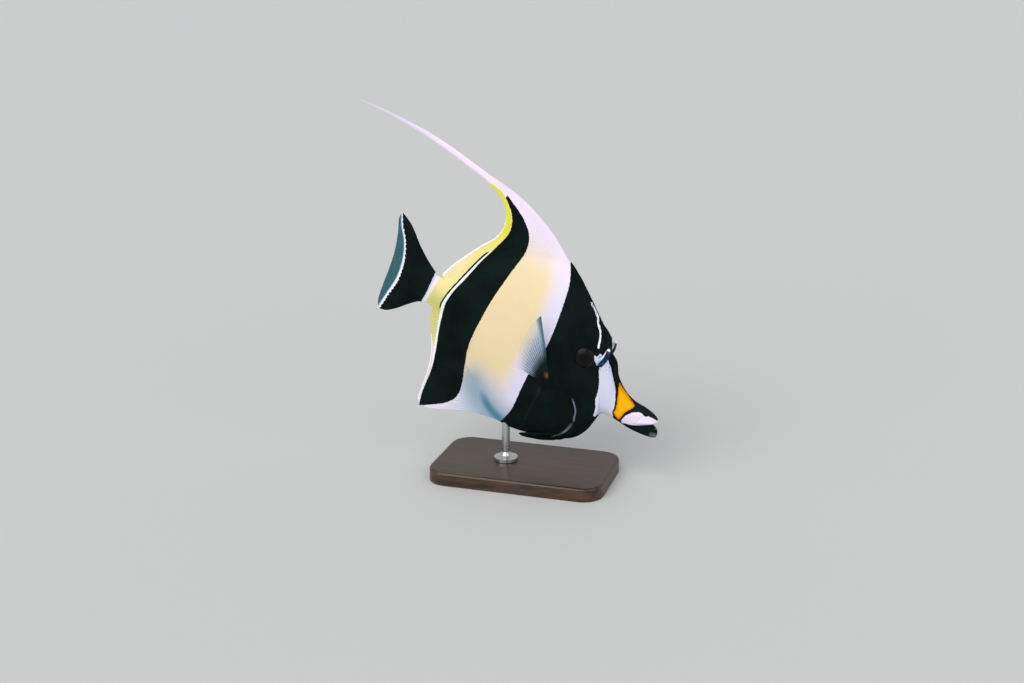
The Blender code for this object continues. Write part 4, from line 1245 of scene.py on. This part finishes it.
class FISHFIGURE_OT_fins(Operator):
    """Makes the tail fin and the paired fins"""

    bl_idname = "fishfigure.fins"
    bl_label = "Tail and paired fins"

    def execute(self, context):
        sizes = context.scene.figure_sizes
        skin = bpy.data.materials["fish_skin"]
        build_tail_fin(sizes, skin)
        clear = clear_fin_material(context.scene.figure_colours)
        height = sizes.ray_height / MM
        for side, word in SIDES:
            build_side_fin("pectoral", PECTORAL, side, word, sizes.pectoral_rays, height, clear)
            build_side_fin("pelvic", PELVIC, side, word, PELVIC_RAYS, height, skin)
        return {"FINISHED"}


class FISHFIGURE_OT_eyes(Operator):
    """Makes the eyes and the horns over them"""

    bl_idname = "fishfigure.eyes"
    bl_label = "Eyes and horns"

    def execute(self, context):
        colours = context.scene.figure_colours
        wet, bone = eye_material(colours), horn_material(colours)
        for side, word in SIDES:
            build_eye(word, side, wet)
            build_horn(word, side, bone)
        return {"FINISHED"}


class FISHFIGURE_OT_stand(Operator):
    """Gives the stand its wood and steel"""

    bl_idname = "fishfigure.stand"
    bl_label = "Stand"

    def execute(self, context):
        colours = context.scene.figure_colours
        finishes = {"stand_base": wood_material(colours), "stand_rod": metal_material(colours)}
        for name, material in finishes.items():
            slots = frame["nodes"][name].data.materials
            slots.clear()
            slots.append(material)
        return {"FINISHED"}


class FISHFIGURE_OT_stage(Operator):
    """Makes the pale floor, the soft lights and the camera"""

    bl_idname = "fishfigure.stage"
    bl_label = "Floor, lights and camera"

    def execute(self, context):
        scene = context.scene
        studio = scene.studio_sizes
        mesh = bmesh.new()
        bmesh.ops.create_grid(mesh, x_segments=2, y_segments=2, size=studio.floor_width / 2)
        floor = add_object("floor", mesh_data("floor", mesh))
        material, tree = new_material("pale_floor")
        set_surface(tree, Base_Color=FLOOR_COLOUR, Roughness=0.8)
        floor.data.materials.append(material)

        scene.world = bpy.data.worlds.new("soft_room")
        scene.world.use_nodes = True
        tree = scene.world.node_tree
        set_inputs(tree, tree.nodes["Background"], {"Color": SKY_COLOUR, "Strength": SKY_STRENGTH})

        for name, way, power in LIGHTS:
            lamp = bpy.data.lights.new(name, "SUN")
            lamp.angle = LIGHT_SPREAD
            lamp.energy = power
            light = add_object(name, lamp)
            light.location = way
            light.rotation_euler = (-Vector(way)).to_track_quat("-Z", "Y").to_euler()

        level = math.cos(studio.above)
        aside, ahead = math.sin(studio.around) * level, math.cos(studio.around) * level
        back = Vector((aside, -ahead, math.sin(studio.above)))
        lens = bpy.data.cameras.new("camera")
        lens.lens = studio.lens
        lens.sensor_width = SENSOR_WIDTH
        camera = add_object("camera", lens)
        camera.location = Vector(CAMERA_TARGET) + back * studio.distance
        camera.rotation_euler = (-back).to_track_quat("-Z", "Y").to_euler()
        scene.camera = camera
        scene.view_settings.view_transform = "Standard"
        return {"FINISHED"}


class FISHFIGURE_PT_panel(Panel):
    """Lists the pieces and their sizes"""

    bl_idname = "FISHFIGURE_PT_panel"
    bl_label = "Moorish idol"
    bl_space_type = "VIEW_3D"
    bl_region_type = "UI"
    bl_category = "Moorish idol"

    def draw(self, context):
        for step in STEPS:
            self.layout.operator(step.bl_idname)
        for name in GROUPS:
            group = getattr(context.scene, name)
            box = self.layout.box()
            for key in group.__annotations__:
                box.prop(group, key)


STEPS = (FISHFIGURE_OT_skin, FISHFIGURE_OT_fins, FISHFIGURE_OT_eyes, FISHFIGURE_OT_stand, FISHFIGURE_OT_stage)
GROUPS = {"figure_sizes": FigureSizes, "figure_colours": FigureColours, "studio_sizes": StudioSizes}
CLASSES = (*GROUPS.values(), *STEPS, FISHFIGURE_PT_panel)


def register():
    for cls in CLASSES:
        bpy.utils.register_class(cls)
    for name, group in GROUPS.items():
        setattr(bpy.types.Scene, name, PointerProperty(type=group))


def unregister():
    for name in GROUPS:
        delattr(bpy.types.Scene, name)
    for cls in reversed(CLASSES):
        bpy.utils.unregister_class(cls)


def main():
    """Builds every piece in order."""
    register()
    bpy.ops.fishfigure.skin()
    bpy.ops.fishfigure.fins()
    bpy.ops.fishfigure.eyes()
    bpy.ops.fishfigure.stand()
    bpy.ops.fishfigure.stage()


if __name__ == "__main__":
    main()
